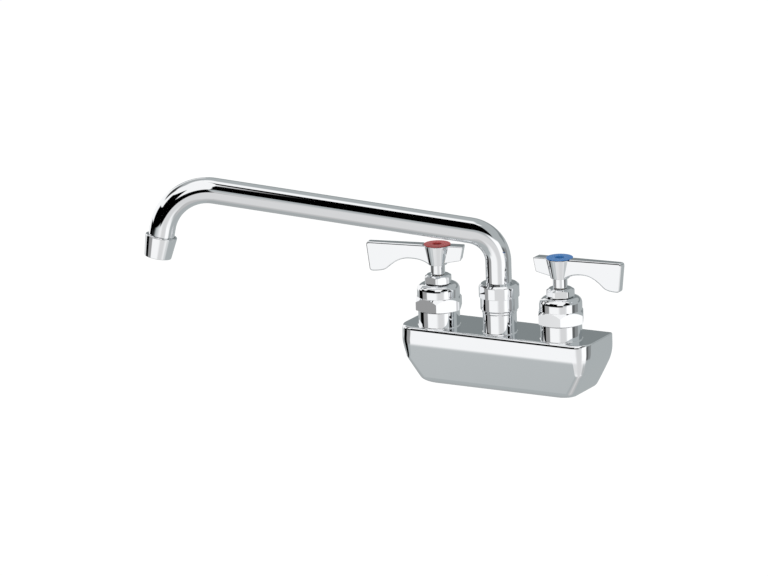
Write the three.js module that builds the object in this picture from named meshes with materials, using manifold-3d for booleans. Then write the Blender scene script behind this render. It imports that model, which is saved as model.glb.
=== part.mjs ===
// Two-handle wall faucet with a swinging tube spout, in millimetres, +Z up.
// Origin: centre of the wall face, at the height of the two inlets. The wall lies at +Y.
import * as THREE from "three";
import { mergeVertices } from "three/addons/utils/BufferGeometryUtils.js";
import Module from "manifold-3d";

const wasm = await Module();
wasm.setup();

// ---------------------------------------------------------------- driving sizes
// Layout
const valveCentres = 101.6; // between the hot and cold valve axes
const axisFromWall = 29; // valve and spout axes in front of the wall face
const inletDrop = 28; // inlet axes below the top of the body

// Clearances
const seatGap = 0.3; // between faces that touch
const threadGap = 0.35; // between a thread and its nut, on the radius
const turnGap = 0.2; // between a turning shaft and its bore, on the radius
const overcut = 1; // how far a cutter runs past the face it opens
const joinDepth = 0.5; // how far two joined solids run into each other

// Body casting
const bodyHeight = 43.5;
const bodyEndReach = 27.4; // from a valve axis to the end of the body
const bodyFrontReach = 16.7; // from the valve axes to the front of the top
const frontTopEdgeRadius = 2.4;
const endTopEdgeRadius = 0.8;
const bottomEdgeRadius = 4.1;
const endShoulder = { drop: 7.4, radius: 30.5, topAngle: 26.9, bottomAngle: 30.7 };
const frontShoulder = { drop: 9, radius: 22, topAngle: 12.8, bottomAngle: 12.8 };
const cornerRadius = 13; // front corners, seen from above
const cornerFade = 26; // below the top, where that rounding has run out
const creaseRadius = { top: 3, bottom: 7 }; // the rounding that takes over from it
const backCornerRadius = 1.6;

// Valve chambers, posts and water ways in the body
const chamberRadius = 10;
const chamberDepth = 17.5; // below the top of the body
const seatPortRadius = 5.5;
const bonnetSpigotWall = 2;
const bonnetThreadDepth = 11;
const valvePostWall = 3.05;
const valvePostHeight = 12;
const postFootRadius = 0.8; // fillet at the foot of a post
const inletPassageRadius = 7.5;
const galleryRadius = 5.2;
const galleryDepth = 6.6; // axis below the top of the body

// Bonnets
const domeOverPost = 0.4; // radius of the dome beyond the post
const domeStraight = 6.5;
const domeShoulderRadius = 4.4;
const domeTopHeight = 19.8; // above the post
const bonnetNeckHeight = 4.4;
const bonnetNeckWall = 0.6;
const bonnetRoof = 5.6; // thickness of the dome over the cartridge
const bonnetHexOverPost = 0.75; // flats of the hexagon beyond the post
const bonnetHexCornerRise = 2.5; // corners beyond the flats
const bonnetHexHeight = 10;
const bonnetHexTopChamfer = { width: 2.65, height: 3.1 };
const bonnetHexBottomChamfer = { width: 2.8, height: 0.9 };
const hotHexTurn = 22.5; // a corner of the hexagon from straight out, degrees
const coldHexTurn = 26;

// Packing
const packingWall = 1.5;
const packingHeight = 2;
const packingPocket = 2;
const packingNutWall = 1.75; // at the flats
const packingNutCornerRise = 1;
const packingNutHeight = 6.3;
const packingNutRoofGap = 0.3;
const packingNutTopChamfer = { width: 2.2, height: 1.3 };
const packingNutBottomChamfer = { width: 0.8, height: 0.5 };
const hotPackingTurn = 22.5;
const coldPackingTurn = 0;

// Cartridges
const cartridgeWall = 2.2;
const discThickness = 2.5;
const discPortRadius = 2.2;
const discPortOffset = 3.8;
const seatSealThickness = 2;
const windowHeight = 5.3;
const windowWidth = 6;
const stemRadius = 4.7;
const stemFlangeThickness = 1.5;
const stemDriveSlot = { width: 2.2, depth: 0.5 };
const stemRingHeight = 1.8;
const stemRingDepth = 0.8;
const stemRingLevel = 8; // above the top of the body
const ringSideGap = 0.15; // above and below a ring in its groove
const ringBackGap = 0.1; // behind a ring in its groove
const ringPreload = 0.05; // a ring stands this far out of its shaft

// Levers
const splineRadius = 3.5;
const neckWall = 1.6;
const neckHeight = 7.3;
const hubBottomRadius = 7;
const hubTopRadius = 10.1;
const hubHeight = 14.7;
const bladeHubThickness = 9;
const bladeTipThickness = 6;
const bladeEdge = 1.2;
const leverReach = 52.8; // lever axis to the tip of the blade
const bladeRise = 2.2; // tip of the blade above the hub
const bladeTipHeight = 22.4;
const bladeTipLength = 15; // of the deep end of the blade
const bladeTipLean = 2;
const bladeTipCorner = 2.6;
const bladeWaist = 10.2; // height of the blade between hub and tip
const bladeWaistReach = 21.3; // lever axis to the thinnest place
const bladeRoot = 5; // fillet between the waist and the hub
const leverTail = 20.1; // lever axis to the end of the tail
const tailDrop = 0.4; // end of the tail below the top of the hub
const tailHeight = 10.9;
const tailLean = 2.1;
const tailRootHeight = 1.6; // underside of the tail above the foot of the hub
const screwRadius = 1.6;
const screwLength = 11;
const screwHeadRadius = 3;
const screwHeadHeight = 2.4;
const screwHeadEdge = 0.5;
const screwHeadDepth = 3.5; // seat of the screw head below the top of the hub
const screwSeatWall = 2;
const screwSocketFlats = 3;
const screwSocketDepth = 1.2;
const rimWall = 0.6;
const ringHole = 3.4;
const ringHeight = 2;
const ringSink = 1.2;
const ringOverhang = 0.7; // of the ring's rim over the hub's edge
const ringOuterEdge = 0.2;
const ringInnerEdge = 0.3;
const hotLeverTurn = 18; // from the line of the two valves towards the front, degrees
const coldLeverTurn = 2;

// Spout tube
const tubeRadius = 9.525;
const tubeWall = 1.2;
const riserHeight = 53.2; // from the top of the body to the start of the riser bend
const riserBendRadius = 25;
const spoutRise = 12; // slope of the straight run, degrees
const tipBendRadius = 32;
const tipTilt = 11.5; // outlet axis from the vertical, degrees
const tipStraight = 22.9; // from the tip bend to the outlet face
const spoutReach = 249.2; // riser axis to the centre of the outlet, level
const spoutSwing = 34; // from the line of the valves towards the front, degrees

// Spout post, swivel and nut
const sleeveLength = 24;
const sleeveWall = 2.3;
const sleeveSocketWall = 2.1;
const sleeveFlangeThickness = 2;
const sleeveSocketHeight = 3.8;
const swivelRingHeight = 1.9;
const swivelRingDepth = 1.25;
const swivelRingLevels = [5, 14]; // grooves above the foot of the sleeve
const slipRingHeight = 1.2;
const spoutPostShoulder = 0.5; // post beyond its thread
const spoutPostHeight = 15.2;
const spoutThreadHeight = 11.8;
const postBeadRise = 0.5;
const postBeadHeight = 2;
const spoutBoreRadius = 9;
const spoutBoreDepth = 11;
const nutWall = 1.65;
const nutLowerHeight = 9.4;
const nutStep = 0.9; // upper part of the nut beyond the lower part
const nutStepChamfer = { width: 0.4, height: 0.3 };
const nutFlatDepth = 0.45;
const nutRoof = 2;
const nutChamfer = { width: 1.8, height: 1.4 };
const nutTurn = 29.5; // a flat of the nut from straight out, degrees

// Aerator
const aeratorTopWall = 1.925;
const aeratorTaper = 1.9; // on the radius, over its height
const aeratorHeight = 16.2;
const aeratorEngagement = 7;
const aeratorTopEdge = 0.7;
const aeratorBottomEdge = 0.5;
const aeratorLip = 0.9;
const aeratorWall = 1;
const aeratorWasherWall = 2.2;
const aeratorWasherHeight = 1.6;
const screenThickness = 0.6;
const insertHeight = 4.4;
const insertHoles = 8;
const insertHoleRadius = 0.8;
const insertHoleCircle = 5.8;

// Inlet shanks and what clamps the faucet to the wall
const shankRadius = 10.45;
const shankWall = 3.45;
const shankLength = 20; // behind the wall face
const shankSocketDepth = 14;
const shankThread = { depth: 0.9, pitch: 1.814, start: 1.2, runout: 0.5, plainEnd: 2.5 };
const wallThickness = 2;
const washerWidth = 3.7;
const sealWasherThickness = 1.5;
const plateWasherThickness = 1;
const shankNutWall = 2.4; // at the flats
const shankNutCornerRise = 1.3;
const shankNutHeight = 4.5;
const shankNutChamfer = { width: 1.1, height: 0.6 };
const shankNutTurn = 30; // a corner from straight up, degrees

// Facets
const fineSides = 24;
const plainSides = 16;
const smallSides = 8;
const tubeSides = 20;
const edgeSteps = 2;
const castingEdgeSteps = 4;
const sideSteps = 9;
const cornerSteps = 7;
const domeSteps = 4;
const riserBendSteps = 10;
const tipBendSteps = 11;

// ---------------------------------------------------------------- helpers
const radians = THREE.MathUtils.degToRad;

/** A closed three.js geometry as a solid that can be joined and cut. */
function solidOf(geometry) {
  const bare = new THREE.BufferGeometry();
  bare.setAttribute("position", geometry.getAttribute("position"));
  bare.setIndex(geometry.index);
  const merged = mergeVertices(bare, 1e-4);
  return new wasm.Manifold(
    new wasm.Mesh({
      numProp: 3,
      vertProperties: merged.attributes.position.array,
      triVerts: new Uint32Array(merged.index.array),
    }),
  );
}

/** A solid back as a geometry with flat-shaded faces. */
function geometryOf(solid) {
  const { vertProperties, triVerts } = solid.getMesh();
  const geometry = new THREE.BufferGeometry();
  geometry.setAttribute("position", new THREE.BufferAttribute(vertProperties, 3));
  geometry.setIndex(new THREE.BufferAttribute(triVerts, 1));
  const flat = geometry.toNonIndexed();
  flat.computeVertexNormals();
  return flat;
}

/** Turns a profile of [radius, height] pairs, anticlockwise in that plane, about Z. */
function turned(profile, sides = plainSides) {
  const points = profile.map(([radius, height]) => new THREE.Vector2(radius, height));
  points.push(points[0].clone());
  return solidOf(new THREE.LatheGeometry(points, sides).rotateX(Math.PI / 2));
}

/** A turned ring or tube between two radii and two heights. */
function ring(inner, outer, bottom, top, sides = plainSides) {
  return turned(
    [
      [inner, bottom],
      [outer, bottom],
      [outer, top],
      [inner, top],
    ],
    sides,
  );
}

/** A round rod on the Z axis. */
function rod(radius, bottom, top, sides = plainSides) {
  const height = top - bottom;
  const cylinder = new THREE.CylinderGeometry(radius, radius, height, sides);
  return solidOf(cylinder.rotateX(Math.PI / 2).translate(0, 0, bottom + height / 2));
}

/** A rod along Y, from one Y to another. */
function rodAlongY(radius, from, to, sides = plainSides) {
  const cylinder = new THREE.CylinderGeometry(radius, radius, to - from, sides);
  return solidOf(cylinder.translate(0, (from + to) / 2, 0));
}

/** A rod along X, from one X to another. */
function rodAlongX(radius, from, to, sides = plainSides) {
  const cylinder = new THREE.CylinderGeometry(radius, radius, to - from, sides);
  return solidOf(cylinder.rotateZ(Math.PI / 2).translate((from + to) / 2, 0, 0));
}

/** A block given by its size and centre. */
function block(size, centre) {
  return solidOf(new THREE.BoxGeometry(...size).translate(...centre));
}

/** A prism of a regular polygon on the Z axis, with a corner at the given turn from -Y. */
function prism(count, flats, bottom, top, turn) {
  const radius = flats / 2 / Math.cos(Math.PI / count);
  const height = top - bottom;
  const cylinder = new THREE.CylinderGeometry(radius, radius, height, count);
  const upright = cylinder.rotateX(Math.PI / 2).rotateZ(radians(turn));
  return solidOf(upright.translate(0, 0, bottom + height / 2));
}

/** The [radius, height] points of an arc, for a profile. */
function arc([centreRadius, centreHeight], radius, fromDegrees, toDegrees, steps) {
  return Array.from({ length: steps + 1 }, (_, i) => {
    const angle = radians(fromDegrees + ((toDegrees - fromDegrees) * i) / steps);
    return [centreRadius + radius * Math.cos(angle), centreHeight + radius * Math.sin(angle)];
  });
}

/** Joins rings of equal point counts, lowest first and anticlockwise from above, into a solid. */
function lofted(rings) {
  const count = rings[0].length;
  const geometry = new THREE.BufferGeometry().setFromPoints(rings.flat());
  const faces = [];
  for (let level = 0; level + 1 < rings.length; level += 1) {
    for (let i = 0; i < count; i += 1) {
      const a = level * count + i;
      const b = level * count + ((i + 1) % count);
      faces.push(a, b, b + count, a, b + count, a + count);
    }
  }
  const top = (rings.length - 1) * count;
  for (let i = 1; i + 1 < count; i += 1) {
    faces.push(0, i + 1, i, top, top + i, top + i + 1);
  }
  geometry.setIndex(faces);
  return solidOf(geometry);
}

const materials = {
  chrome: new THREE.MeshStandardMaterial({ color: 0xc9ced2, roughness: 0.08, metalness: 1 }),
  brass: new THREE.MeshStandardMaterial({ color: 0xc49a4a, roughness: 0.3, metalness: 1 }),
  steel: new THREE.MeshStandardMaterial({ color: 0xa8aaac, roughness: 0.35, metalness: 1 }),
  rubber: new THREE.MeshStandardMaterial({ color: 0x1c1c1e, roughness: 0.8, metalness: 0 }),
  ceramic: new THREE.MeshStandardMaterial({ color: 0xe9e6df, roughness: 0.25, metalness: 0 }),
  packing: new THREE.MeshStandardMaterial({ color: 0xe4e4de, roughness: 0.6, metalness: 0 }),
  plastic: new THREE.MeshStandardMaterial({ color: 0xd9dcdc, roughness: 0.45, metalness: 0 }),
  red: new THREE.MeshStandardMaterial({ color: 0xc0433f, roughness: 0.35, metalness: 0 }),
  blue: new THREE.MeshStandardMaterial({ color: 0x3f7fc4, roughness: 0.35, metalness: 0 }),
};

/** A named mesh of one solid. */
function piece(name, solid, material) {
  const mesh = new THREE.Mesh(geometryOf(solid), material);
  mesh.name = name;
  return mesh;
}

// ---------------------------------------------------------------- sizes that follow
// Radii, from the inside outwards
const cartridgeRadius = chamberRadius - seatGap;
const cartridgeBore = cartridgeRadius - cartridgeWall;
const discRadius = cartridgeBore - seatGap;
const stemBore = stemRadius + turnGap;
const bonnetThreadRadius = chamberRadius + bonnetSpigotWall;
const valvePostRadius = bonnetThreadRadius + threadGap + valvePostWall;
const domeRadius = valvePostRadius + domeOverPost;
const bonnetHexFlats = 2 * (valvePostRadius + bonnetHexOverPost);
const bonnetHexCorners = bonnetHexFlats + 2 * bonnetHexCornerRise;
const packingRadius = stemBore + packingWall;
const bonnetNeckRadius = packingRadius + seatGap + bonnetNeckWall;
const packingNutFlats = 2 * (bonnetNeckRadius + threadGap + packingNutWall);
const packingNutCorners = packingNutFlats + 2 * packingNutCornerRise;
const neckRadius = splineRadius + turnGap + neckWall;
const ringRadius = hubTopRadius - rimWall - seatGap;
const ringRimRadius = ringRadius + ringOverhang;
const sleeveFlangeRadius = tubeRadius + turnGap + sleeveSocketWall;
const spoutThreadRadius = sleeveFlangeRadius + turnGap;
const spoutPostRadius = spoutThreadRadius + spoutPostShoulder;
const postBeadRadius = spoutPostRadius + postBeadRise;
const nutLowerRadius = spoutThreadRadius + threadGap + nutWall;
const nutUpperRadius = nutLowerRadius + nutStep;
const nutFlats = 2 * (nutUpperRadius - nutFlatDepth);
const shankNutFlats = 2 * (shankRadius + threadGap + shankNutWall);

// Heights above the top of the body
const hexBottom = valvePostHeight + seatGap;
const domeTop = valvePostHeight + domeTopHeight;
const bonnetNeckTop = domeTop + bonnetNeckHeight;
const cartridgeTop = domeTop - bonnetRoof - seatGap;
const packingBottom = bonnetNeckTop - packingPocket + seatGap;
const packingTop = packingBottom + packingHeight;
const packingNutBottom = domeTop + seatGap;
const packingNutTop = packingNutBottom + packingNutHeight;
const leverBottom = packingNutTop + seatGap;
const hubBottom = leverBottom + neckHeight;
const hubTop = hubBottom + hubHeight;
const screwSeat = hubTop - screwHeadDepth;
const splineBoreTop = screwSeat - screwSeatWall;
const sealBottom = -chamberDepth + seatGap;
const fixedDiscBottom = sealBottom + seatSealThickness + seatGap;
const movingDiscBottom = fixedDiscBottom + discThickness + seatGap;
const stemBottom = movingDiscBottom + discThickness + seatGap;
const threadTop = spoutPostHeight + spoutThreadHeight;
const sleeveFlangeBottom = threadTop + seatGap;
const sleeveFlangeTop = sleeveFlangeBottom + sleeveFlangeThickness;
const sleeveTop = sleeveFlangeTop + sleeveSocketHeight;
const slipRingBottom = sleeveTop + seatGap;
const nutBottom = spoutPostHeight + postBeadHeight + seatGap;
const nutCeiling = slipRingBottom + slipRingHeight + seatGap;
const nutTop = nutCeiling + nutRoof;
const tubeBottom = sleeveFlangeTop + seatGap;

// The spout's path
const tubeEndInAerator = aeratorHeight - aeratorEngagement;
const riserTurn = 90 - spoutRise;
const tipTurn = 90 + spoutRise - tipTilt;
const straightRun =
  (spoutReach -
    bendReach(riserBendRadius, 90, riserTurn) -
    bendReach(tipBendRadius, spoutRise, tipTurn) -
    tipStraight * Math.sin(radians(tipTilt))) /
  Math.cos(radians(spoutRise));

/** Level length that a bend covers while its heading falls from one angle by a turn. */
function bendReach(radius, fromHeading, turn) {
  return radius * (Math.sin(radians(fromHeading)) - Math.sin(radians(fromHeading - turn)));
}

// ---------------------------------------------------------------- body casting
/** How far a side has drawn in at a drop below the top: upright, then a shoulder, then a flank. */
function drawnIn(drop, shoulder) {
  const topAngle = radians(shoulder.topAngle);
  const bottomAngle = radians(shoulder.bottomAngle);
  const below = drop - shoulder.drop;
  if (below <= 0) return 0;
  const shoulderHeight = shoulder.radius * Math.sin(topAngle);
  if (below <= shoulderHeight) {
    return shoulder.radius - Math.sqrt(shoulder.radius ** 2 - below ** 2);
  }
  const atShoulder = shoulder.radius * (1 - Math.cos(topAngle));
  const share = (below - shoulderHeight) / (bodyHeight - shoulder.drop - shoulderHeight);
  const slope = THREE.MathUtils.lerp(Math.tan(topAngle), Math.tan(bottomAngle), share / 2);
  return atShoulder + (below - shoulderHeight) * slope;
}

/** How far a rounded edge stands back at a distance from the face that it meets. */
function edgeInset(distance, radius) {
  if (distance >= radius) return 0;
  return radius - Math.sqrt(radius ** 2 - (radius - distance) ** 2);
}

/** The body's outline at a drop below its top. */
function bodyOutline(drop) {
  const endInset = edgeInset(drop, endTopEdgeRadius);
  const frontInset = edgeInset(drop, frontTopEdgeRadius);
  const bottomInset = edgeInset(bodyHeight - drop, bottomEdgeRadius);
  const endIn = drawnIn(drop, endShoulder) + endInset + bottomInset;
  const frontIn = drawnIn(drop, frontShoulder) + frontInset + bottomInset;
  const endX = valveCentres / 2 + bodyEndReach - endIn;
  const frontY = -axisFromWall - bodyFrontReach + frontIn;
  const fade = Math.sqrt(Math.max(0, 1 - (drop / cornerFade) ** 2));
  const topCorner = cornerRadius * fade - (endInset + frontInset) / 2;
  const crease = THREE.MathUtils.lerp(creaseRadius.top, creaseRadius.bottom, drop / bodyHeight);
  const corner = Math.max(crease, topCorner) + bottomInset;
  const quarter = (radius, centreX, centreY, from, steps) =>
    arc([centreX, centreY], radius, from, from + 90, steps);
  const points = [
    ...quarter(corner, -endX + corner, frontY + corner, 180, cornerSteps),
    ...quarter(corner, endX - corner, frontY + corner, 270, cornerSteps),
    ...quarter(backCornerRadius, endX - backCornerRadius, -backCornerRadius, 0, edgeSteps),
    ...quarter(backCornerRadius, -endX + backCornerRadius, -backCornerRadius, 90, edgeSteps),
  ];
  return points.map(([x, y]) => new THREE.Vector3(x, y, inletDrop - drop));
}

/** The outer block of the casting, without its posts and bores. */
function bodyBlock() {
  const drops = [];
  const turnAt = (i) => radians((90 * i) / castingEdgeSteps);
  for (let i = 0; i <= castingEdgeSteps; i += 1) {
    drops.push(frontTopEdgeRadius * (1 - Math.cos(turnAt(i))));
  }
  const sideHeight = bodyHeight - frontTopEdgeRadius - bottomEdgeRadius;
  for (let i = 1; i <= sideSteps; i += 1) {
    drops.push(frontTopEdgeRadius + (sideHeight * i) / sideSteps);
  }
  for (let i = 1; i <= castingEdgeSteps; i += 1) {
    drops.push(bodyHeight - bottomEdgeRadius * (1 - Math.sin(turnAt(i))));
  }
  return lofted(drops.reverse().map(bodyOutline));
}

/** A post on the top of the body, with a fillet at its foot. Heights are above the top. */
function post(radius, height) {
  const sink = frontTopEdgeRadius + joinDepth;
  const foot = postFootRadius;
  return turned(
    [
      [0, -sink],
      [radius + foot, -sink],
      ...arc([radius + foot, foot], foot, 270, 180, edgeSteps),
      [radius, height],
      [0, height],
    ],
    fineSides,
  );
}

function bodyCasting() {
  const valveAxis = (side) => [(side * valveCentres) / 2, -axisFromWall, inletDrop];
  let body = bodyBlock();

  const spoutPost = post(spoutPostRadius, spoutPostHeight)
    .add(rod(postBeadRadius, spoutPostHeight, spoutPostHeight + postBeadHeight, fineSides))
    .add(rod(spoutThreadRadius, spoutPostHeight, threadTop, fineSides));
  body = body.add(spoutPost.translate(0, -axisFromWall, inletDrop));
  const spoutBore = rod(spoutBoreRadius, -spoutBoreDepth, threadTop + overcut, fineSides);
  body = body.subtract(spoutBore.translate(0, -axisFromWall, inletDrop));

  for (const side of [-1, 1]) {
    const valvePost = post(valvePostRadius, valvePostHeight);
    body = body.add(valvePost.translate(...valveAxis(side)));
    const threadBore = rod(
      bonnetThreadRadius + threadGap,
      valvePostHeight - bonnetThreadDepth,
      valvePostHeight + overcut,
      fineSides,
    );
    const chamber = rod(chamberRadius, -chamberDepth, valvePostHeight, fineSides);
    const seatPort = rod(seatPortRadius, -inletDrop, -chamberDepth + overcut);
    const valveBores = threadBore.add(chamber).add(seatPort);
    body = body.subtract(valveBores.translate(...valveAxis(side)));

    const passage = rodAlongY(inletPassageRadius, -axisFromWall - seatPortRadius, overcut);
    const socket = rodAlongY(shankRadius + threadGap, -shankSocketDepth, overcut);
    body = body.subtract(passage.add(socket).translate((side * valveCentres) / 2, 0, 0));
  }

  const gallery = rodAlongX(galleryRadius, -valveCentres / 2, valveCentres / 2);
  return body.subtract(gallery.translate(0, -axisFromWall, inletDrop - galleryDepth));
}

// ---------------------------------------------------------------- valves
/** A hexagonal nut whose corners are rounded off and chamfered by a turned profile. */
function hexagon({ flats, corners, bottom, top, turn, bottomChamfer, topChamfer }) {
  const radius = corners / 2;
  const outer = turned(
    [
      [0, bottom],
      [radius - bottomChamfer.width, bottom],
      [radius, bottom + bottomChamfer.height],
      [radius, top - topChamfer.height],
      [radius - topChamfer.width, top],
      [0, top],
    ],
    fineSides,
  );
  return prism(6, flats, bottom, top, turn).intersect(outer);
}

function bonnet(turn) {
  const hexTop = hexBottom + bonnetHexHeight;
  const domeShoulder = domeTop - domeShoulderRadius;
  const straightTop = Math.min(hexTop + domeStraight, domeShoulder);
  const dome = turned(
    [
      [0, hexTop - bonnetHexTopChamfer.height],
      [domeRadius, hexTop - bonnetHexTopChamfer.height],
      [domeRadius, straightTop],
      ...arc([domeRadius - domeShoulderRadius, domeShoulder], domeShoulderRadius, 0, 90, domeSteps),
      [bonnetNeckRadius, domeTop],
      [bonnetNeckRadius, bonnetNeckTop],
      [0, bonnetNeckTop],
    ],
    fineSides,
  );
  const spigotBottom = valvePostHeight - bonnetThreadDepth + seatGap;
  const spigot = rod(bonnetThreadRadius, spigotBottom, hexBottom + joinDepth, fineSides);
  const nut = hexagon({
    flats: bonnetHexFlats,
    corners: bonnetHexCorners,
    bottom: hexBottom,
    top: hexTop,
    turn,
    bottomChamfer: bonnetHexBottomChamfer,
    topChamfer: bonnetHexTopChamfer,
  });
  const above = bonnetNeckTop + overcut;
  const cartridgeRoom = rod(chamberRadius, spigotBottom - overcut, cartridgeTop + seatGap);
  const stemHole = rod(stemBore + turnGap, cartridgeTop, above);
  const pocket = rod(packingRadius + seatGap, bonnetNeckTop - packingPocket, above);
  const outside = dome.add(spigot).add(nut);
  return outside.subtract(cartridgeRoom).subtract(stemHole).subtract(pocket);
}

function packingNut(turn) {
  const nut = hexagon({
    flats: packingNutFlats,
    corners: packingNutCorners,
    bottom: packingNutBottom,
    top: packingNutTop,
    turn,
    bottomChamfer: packingNutBottomChamfer,
    topChamfer: packingNutTopChamfer,
  });
  const cavityTop = Math.max(packingTop, bonnetNeckTop) + packingNutRoofGap;
  const cavity = rod(bonnetNeckRadius + threadGap, packingNutBottom - overcut, cavityTop);
  return nut.subtract(cavity).subtract(rod(stemBore, packingNutBottom, packingNutTop + overcut));
}

function cartridgeShell() {
  const bottom = fixedDiscBottom;
  const windowBottom = stemBottom + seatGap;
  const cavityTop = windowBottom + windowHeight + seatGap;
  const shell = rod(cartridgeRadius, bottom, cartridgeTop);
  const cavity = rod(cartridgeBore, bottom - overcut, cavityTop);
  const bore = rod(stemBore, bottom, cartridgeTop + overcut);
  const window = block(
    [3 * cartridgeRadius, windowWidth, windowHeight],
    [0, 0, windowBottom + windowHeight / 2],
  );
  return shell.subtract(cavity).subtract(bore).subtract(window);
}

function valveDisc(bottom) {
  let disc = rod(discRadius, bottom, bottom + discThickness);
  for (const side of [-1, 1]) {
    const port = rod(discPortRadius, bottom - overcut, bottom + discThickness + overcut, smallSides);
    disc = disc.subtract(port.translate(0, side * discPortOffset, 0));
  }
  return disc;
}

function valveStem() {
  const flangeTop = stemBottom + stemFlangeThickness;
  const shoulder = leverBottom - seatGap;
  const splineTop = splineBoreTop - seatGap;
  const grooveRadius = stemRadius - stemRingDepth;
  const stem = turned([
    [0, stemBottom],
    [discRadius, stemBottom],
    [discRadius, flangeTop],
    [stemRadius, flangeTop],
    [stemRadius, stemRingLevel],
    [grooveRadius, stemRingLevel],
    [grooveRadius, stemRingLevel + stemRingHeight + 2 * ringSideGap],
    [stemRadius, stemRingLevel + stemRingHeight + 2 * ringSideGap],
    [stemRadius, shoulder],
    [splineRadius, shoulder],
    [splineRadius, splineTop],
    [0, splineTop],
  ]);
  const hole = rod(screwRadius + turnGap, splineTop - screwLength, splineTop + overcut);
  const slot = block(
    [3 * discRadius, stemDriveSlot.width, 2 * stemDriveSlot.depth],
    [0, 0, stemBottom],
  );
  return stem.subtract(hole).subtract(slot);
}

/** The side view of the blade and tail, with the hub on the axis. */
function bladeOutline() {
  const tipTop = hubTop + bladeRise;
  const tipBottom = tipTop - bladeTipHeight;
  const waist = hubTop - bladeWaist;
  const heelX = leverReach - bladeTipLean;
  const bellyX = leverReach - bladeTipLength;
  const rootX = hubBottomRadius + bladeRoot;
  const tailTop = hubTop - tailDrop;
  const shoulderX = leverReach - bladeTipCorner;
  const shoulderZ = hubTop + (bladeRise * shoulderX) / leverReach;
  const hollow = (bellyX - bladeWaistReach) / 2;
  const shape = new THREE.Shape();
  shape.moveTo(-leverTail, tailTop);
  shape.lineTo(shoulderX, shoulderZ);
  shape.quadraticCurveTo(leverReach, tipTop, leverReach, tipTop - bladeTipCorner);
  shape.lineTo(heelX, tipBottom + bladeTipCorner);
  shape.quadraticCurveTo(heelX, tipBottom, heelX - bladeTipCorner, tipBottom);
  shape.quadraticCurveTo(bellyX + bladeTipCorner, tipBottom, bellyX, tipBottom + bladeTipLean);
  shape.bezierCurveTo(
    bellyX - bladeTipCorner,
    tipBottom + 2 * bladeTipLean,
    bladeWaistReach + hollow,
    waist,
    bladeWaistReach,
    waist,
  );
  shape.quadraticCurveTo(rootX, waist, hubBottomRadius - joinDepth, hubBottom + joinDepth);
  shape.lineTo(-hubBottomRadius, hubBottom + tailRootHeight);
  shape.lineTo(-leverTail + tailLean, tailTop - tailHeight);
  shape.closePath();
  return shape;
}

/** The blade and tail: the side view given a thickness that tapers to the tip. */
function blade() {
  const thickness = bladeHubThickness - 2 * bladeEdge;
  const geometry = new THREE.ExtrudeGeometry(bladeOutline(), {
    depth: thickness,
    bevelThickness: bladeEdge,
    bevelSize: bladeEdge,
    bevelOffset: -bladeEdge,
    bevelSegments: 1,
    curveSegments: 5,
  });
  geometry.translate(0, 0, -thickness / 2).rotateX(Math.PI / 2);
  const position = geometry.getAttribute("position");
  for (let i = 0; i < position.count; i += 1) {
    const along = THREE.MathUtils.clamp(position.getX(i) / leverReach, 0, 1);
    const narrowed = THREE.MathUtils.lerp(1, bladeTipThickness / bladeHubThickness, along);
    position.setY(i, position.getY(i) * narrowed);
  }
  return solidOf(geometry);
}

function lever() {
  const above = hubTop + bladeRise + overcut;
  const hub = turned(
    [
      [0, leverBottom],
      [neckRadius, leverBottom],
      [neckRadius, hubBottom],
      [hubBottomRadius, hubBottom],
      [hubTopRadius, hubTop],
      [0, hubTop],
    ],
    fineSides,
  );
  const splineBore = rod(splineRadius + turnGap, leverBottom - overcut, splineBoreTop);
  const screwHole = rod(screwRadius + turnGap, splineBoreTop - overcut, screwSeat + overcut);
  const headPocket = rod(screwHeadRadius + seatGap, screwSeat, above);
  const ringRecess = rod(hubTopRadius - rimWall, hubTop - ringSink - seatGap, above, fineSides);
  const rimRoom = rod(ringRimRadius + seatGap, hubTop, above, fineSides);
  const cuts = splineBore.add(screwHole).add(headPocket).add(ringRecess).add(rimRoom);
  return hub.add(blade()).subtract(cuts);
}

function leverScrew() {
  const seat = screwSeat + seatGap;
  const headTop = seat + screwHeadHeight;
  const screw = turned([
    [0, seat - screwLength],
    [screwRadius, seat - screwLength],
    [screwRadius, seat],
    [screwHeadRadius, seat],
    [screwHeadRadius, headTop - screwHeadEdge],
    [screwHeadRadius - screwHeadEdge, headTop],
    [0, headTop],
  ]);
  return screw.subtract(
    prism(6, screwSocketFlats, headTop - screwSocketDepth, headTop + overcut, 0),
  );
}

/** The index ring: a spigot in the hub's recess and a thin rim that lies over the hub's edge. */
function indexRing() {
  const bottom = hubTop - ringSink;
  const top = bottom + ringHeight;
  const rimBottom = hubTop + seatGap;
  return turned(
    [
      [ringHole, bottom],
      [ringRadius, bottom],
      [ringRadius, rimBottom],
      [ringRimRadius, rimBottom],
      [ringRimRadius, top - ringOuterEdge],
      [ringRimRadius - ringOuterEdge, top],
      [ringHole + ringInnerEdge, top],
      [ringHole, top - ringInnerEdge],
    ],
    fineSides,
  );
}

/** A rubber ring in a groove of a turned shaft, given the groove's foot. */
function grooveRing(shaftRadius, grooveDepth, grooveBottom, height, sides) {
  return ring(
    shaftRadius - grooveDepth + ringBackGap,
    shaftRadius + ringPreload,
    grooveBottom + ringSideGap,
    grooveBottom + ringSideGap + height,
    sides,
  );
}

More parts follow.
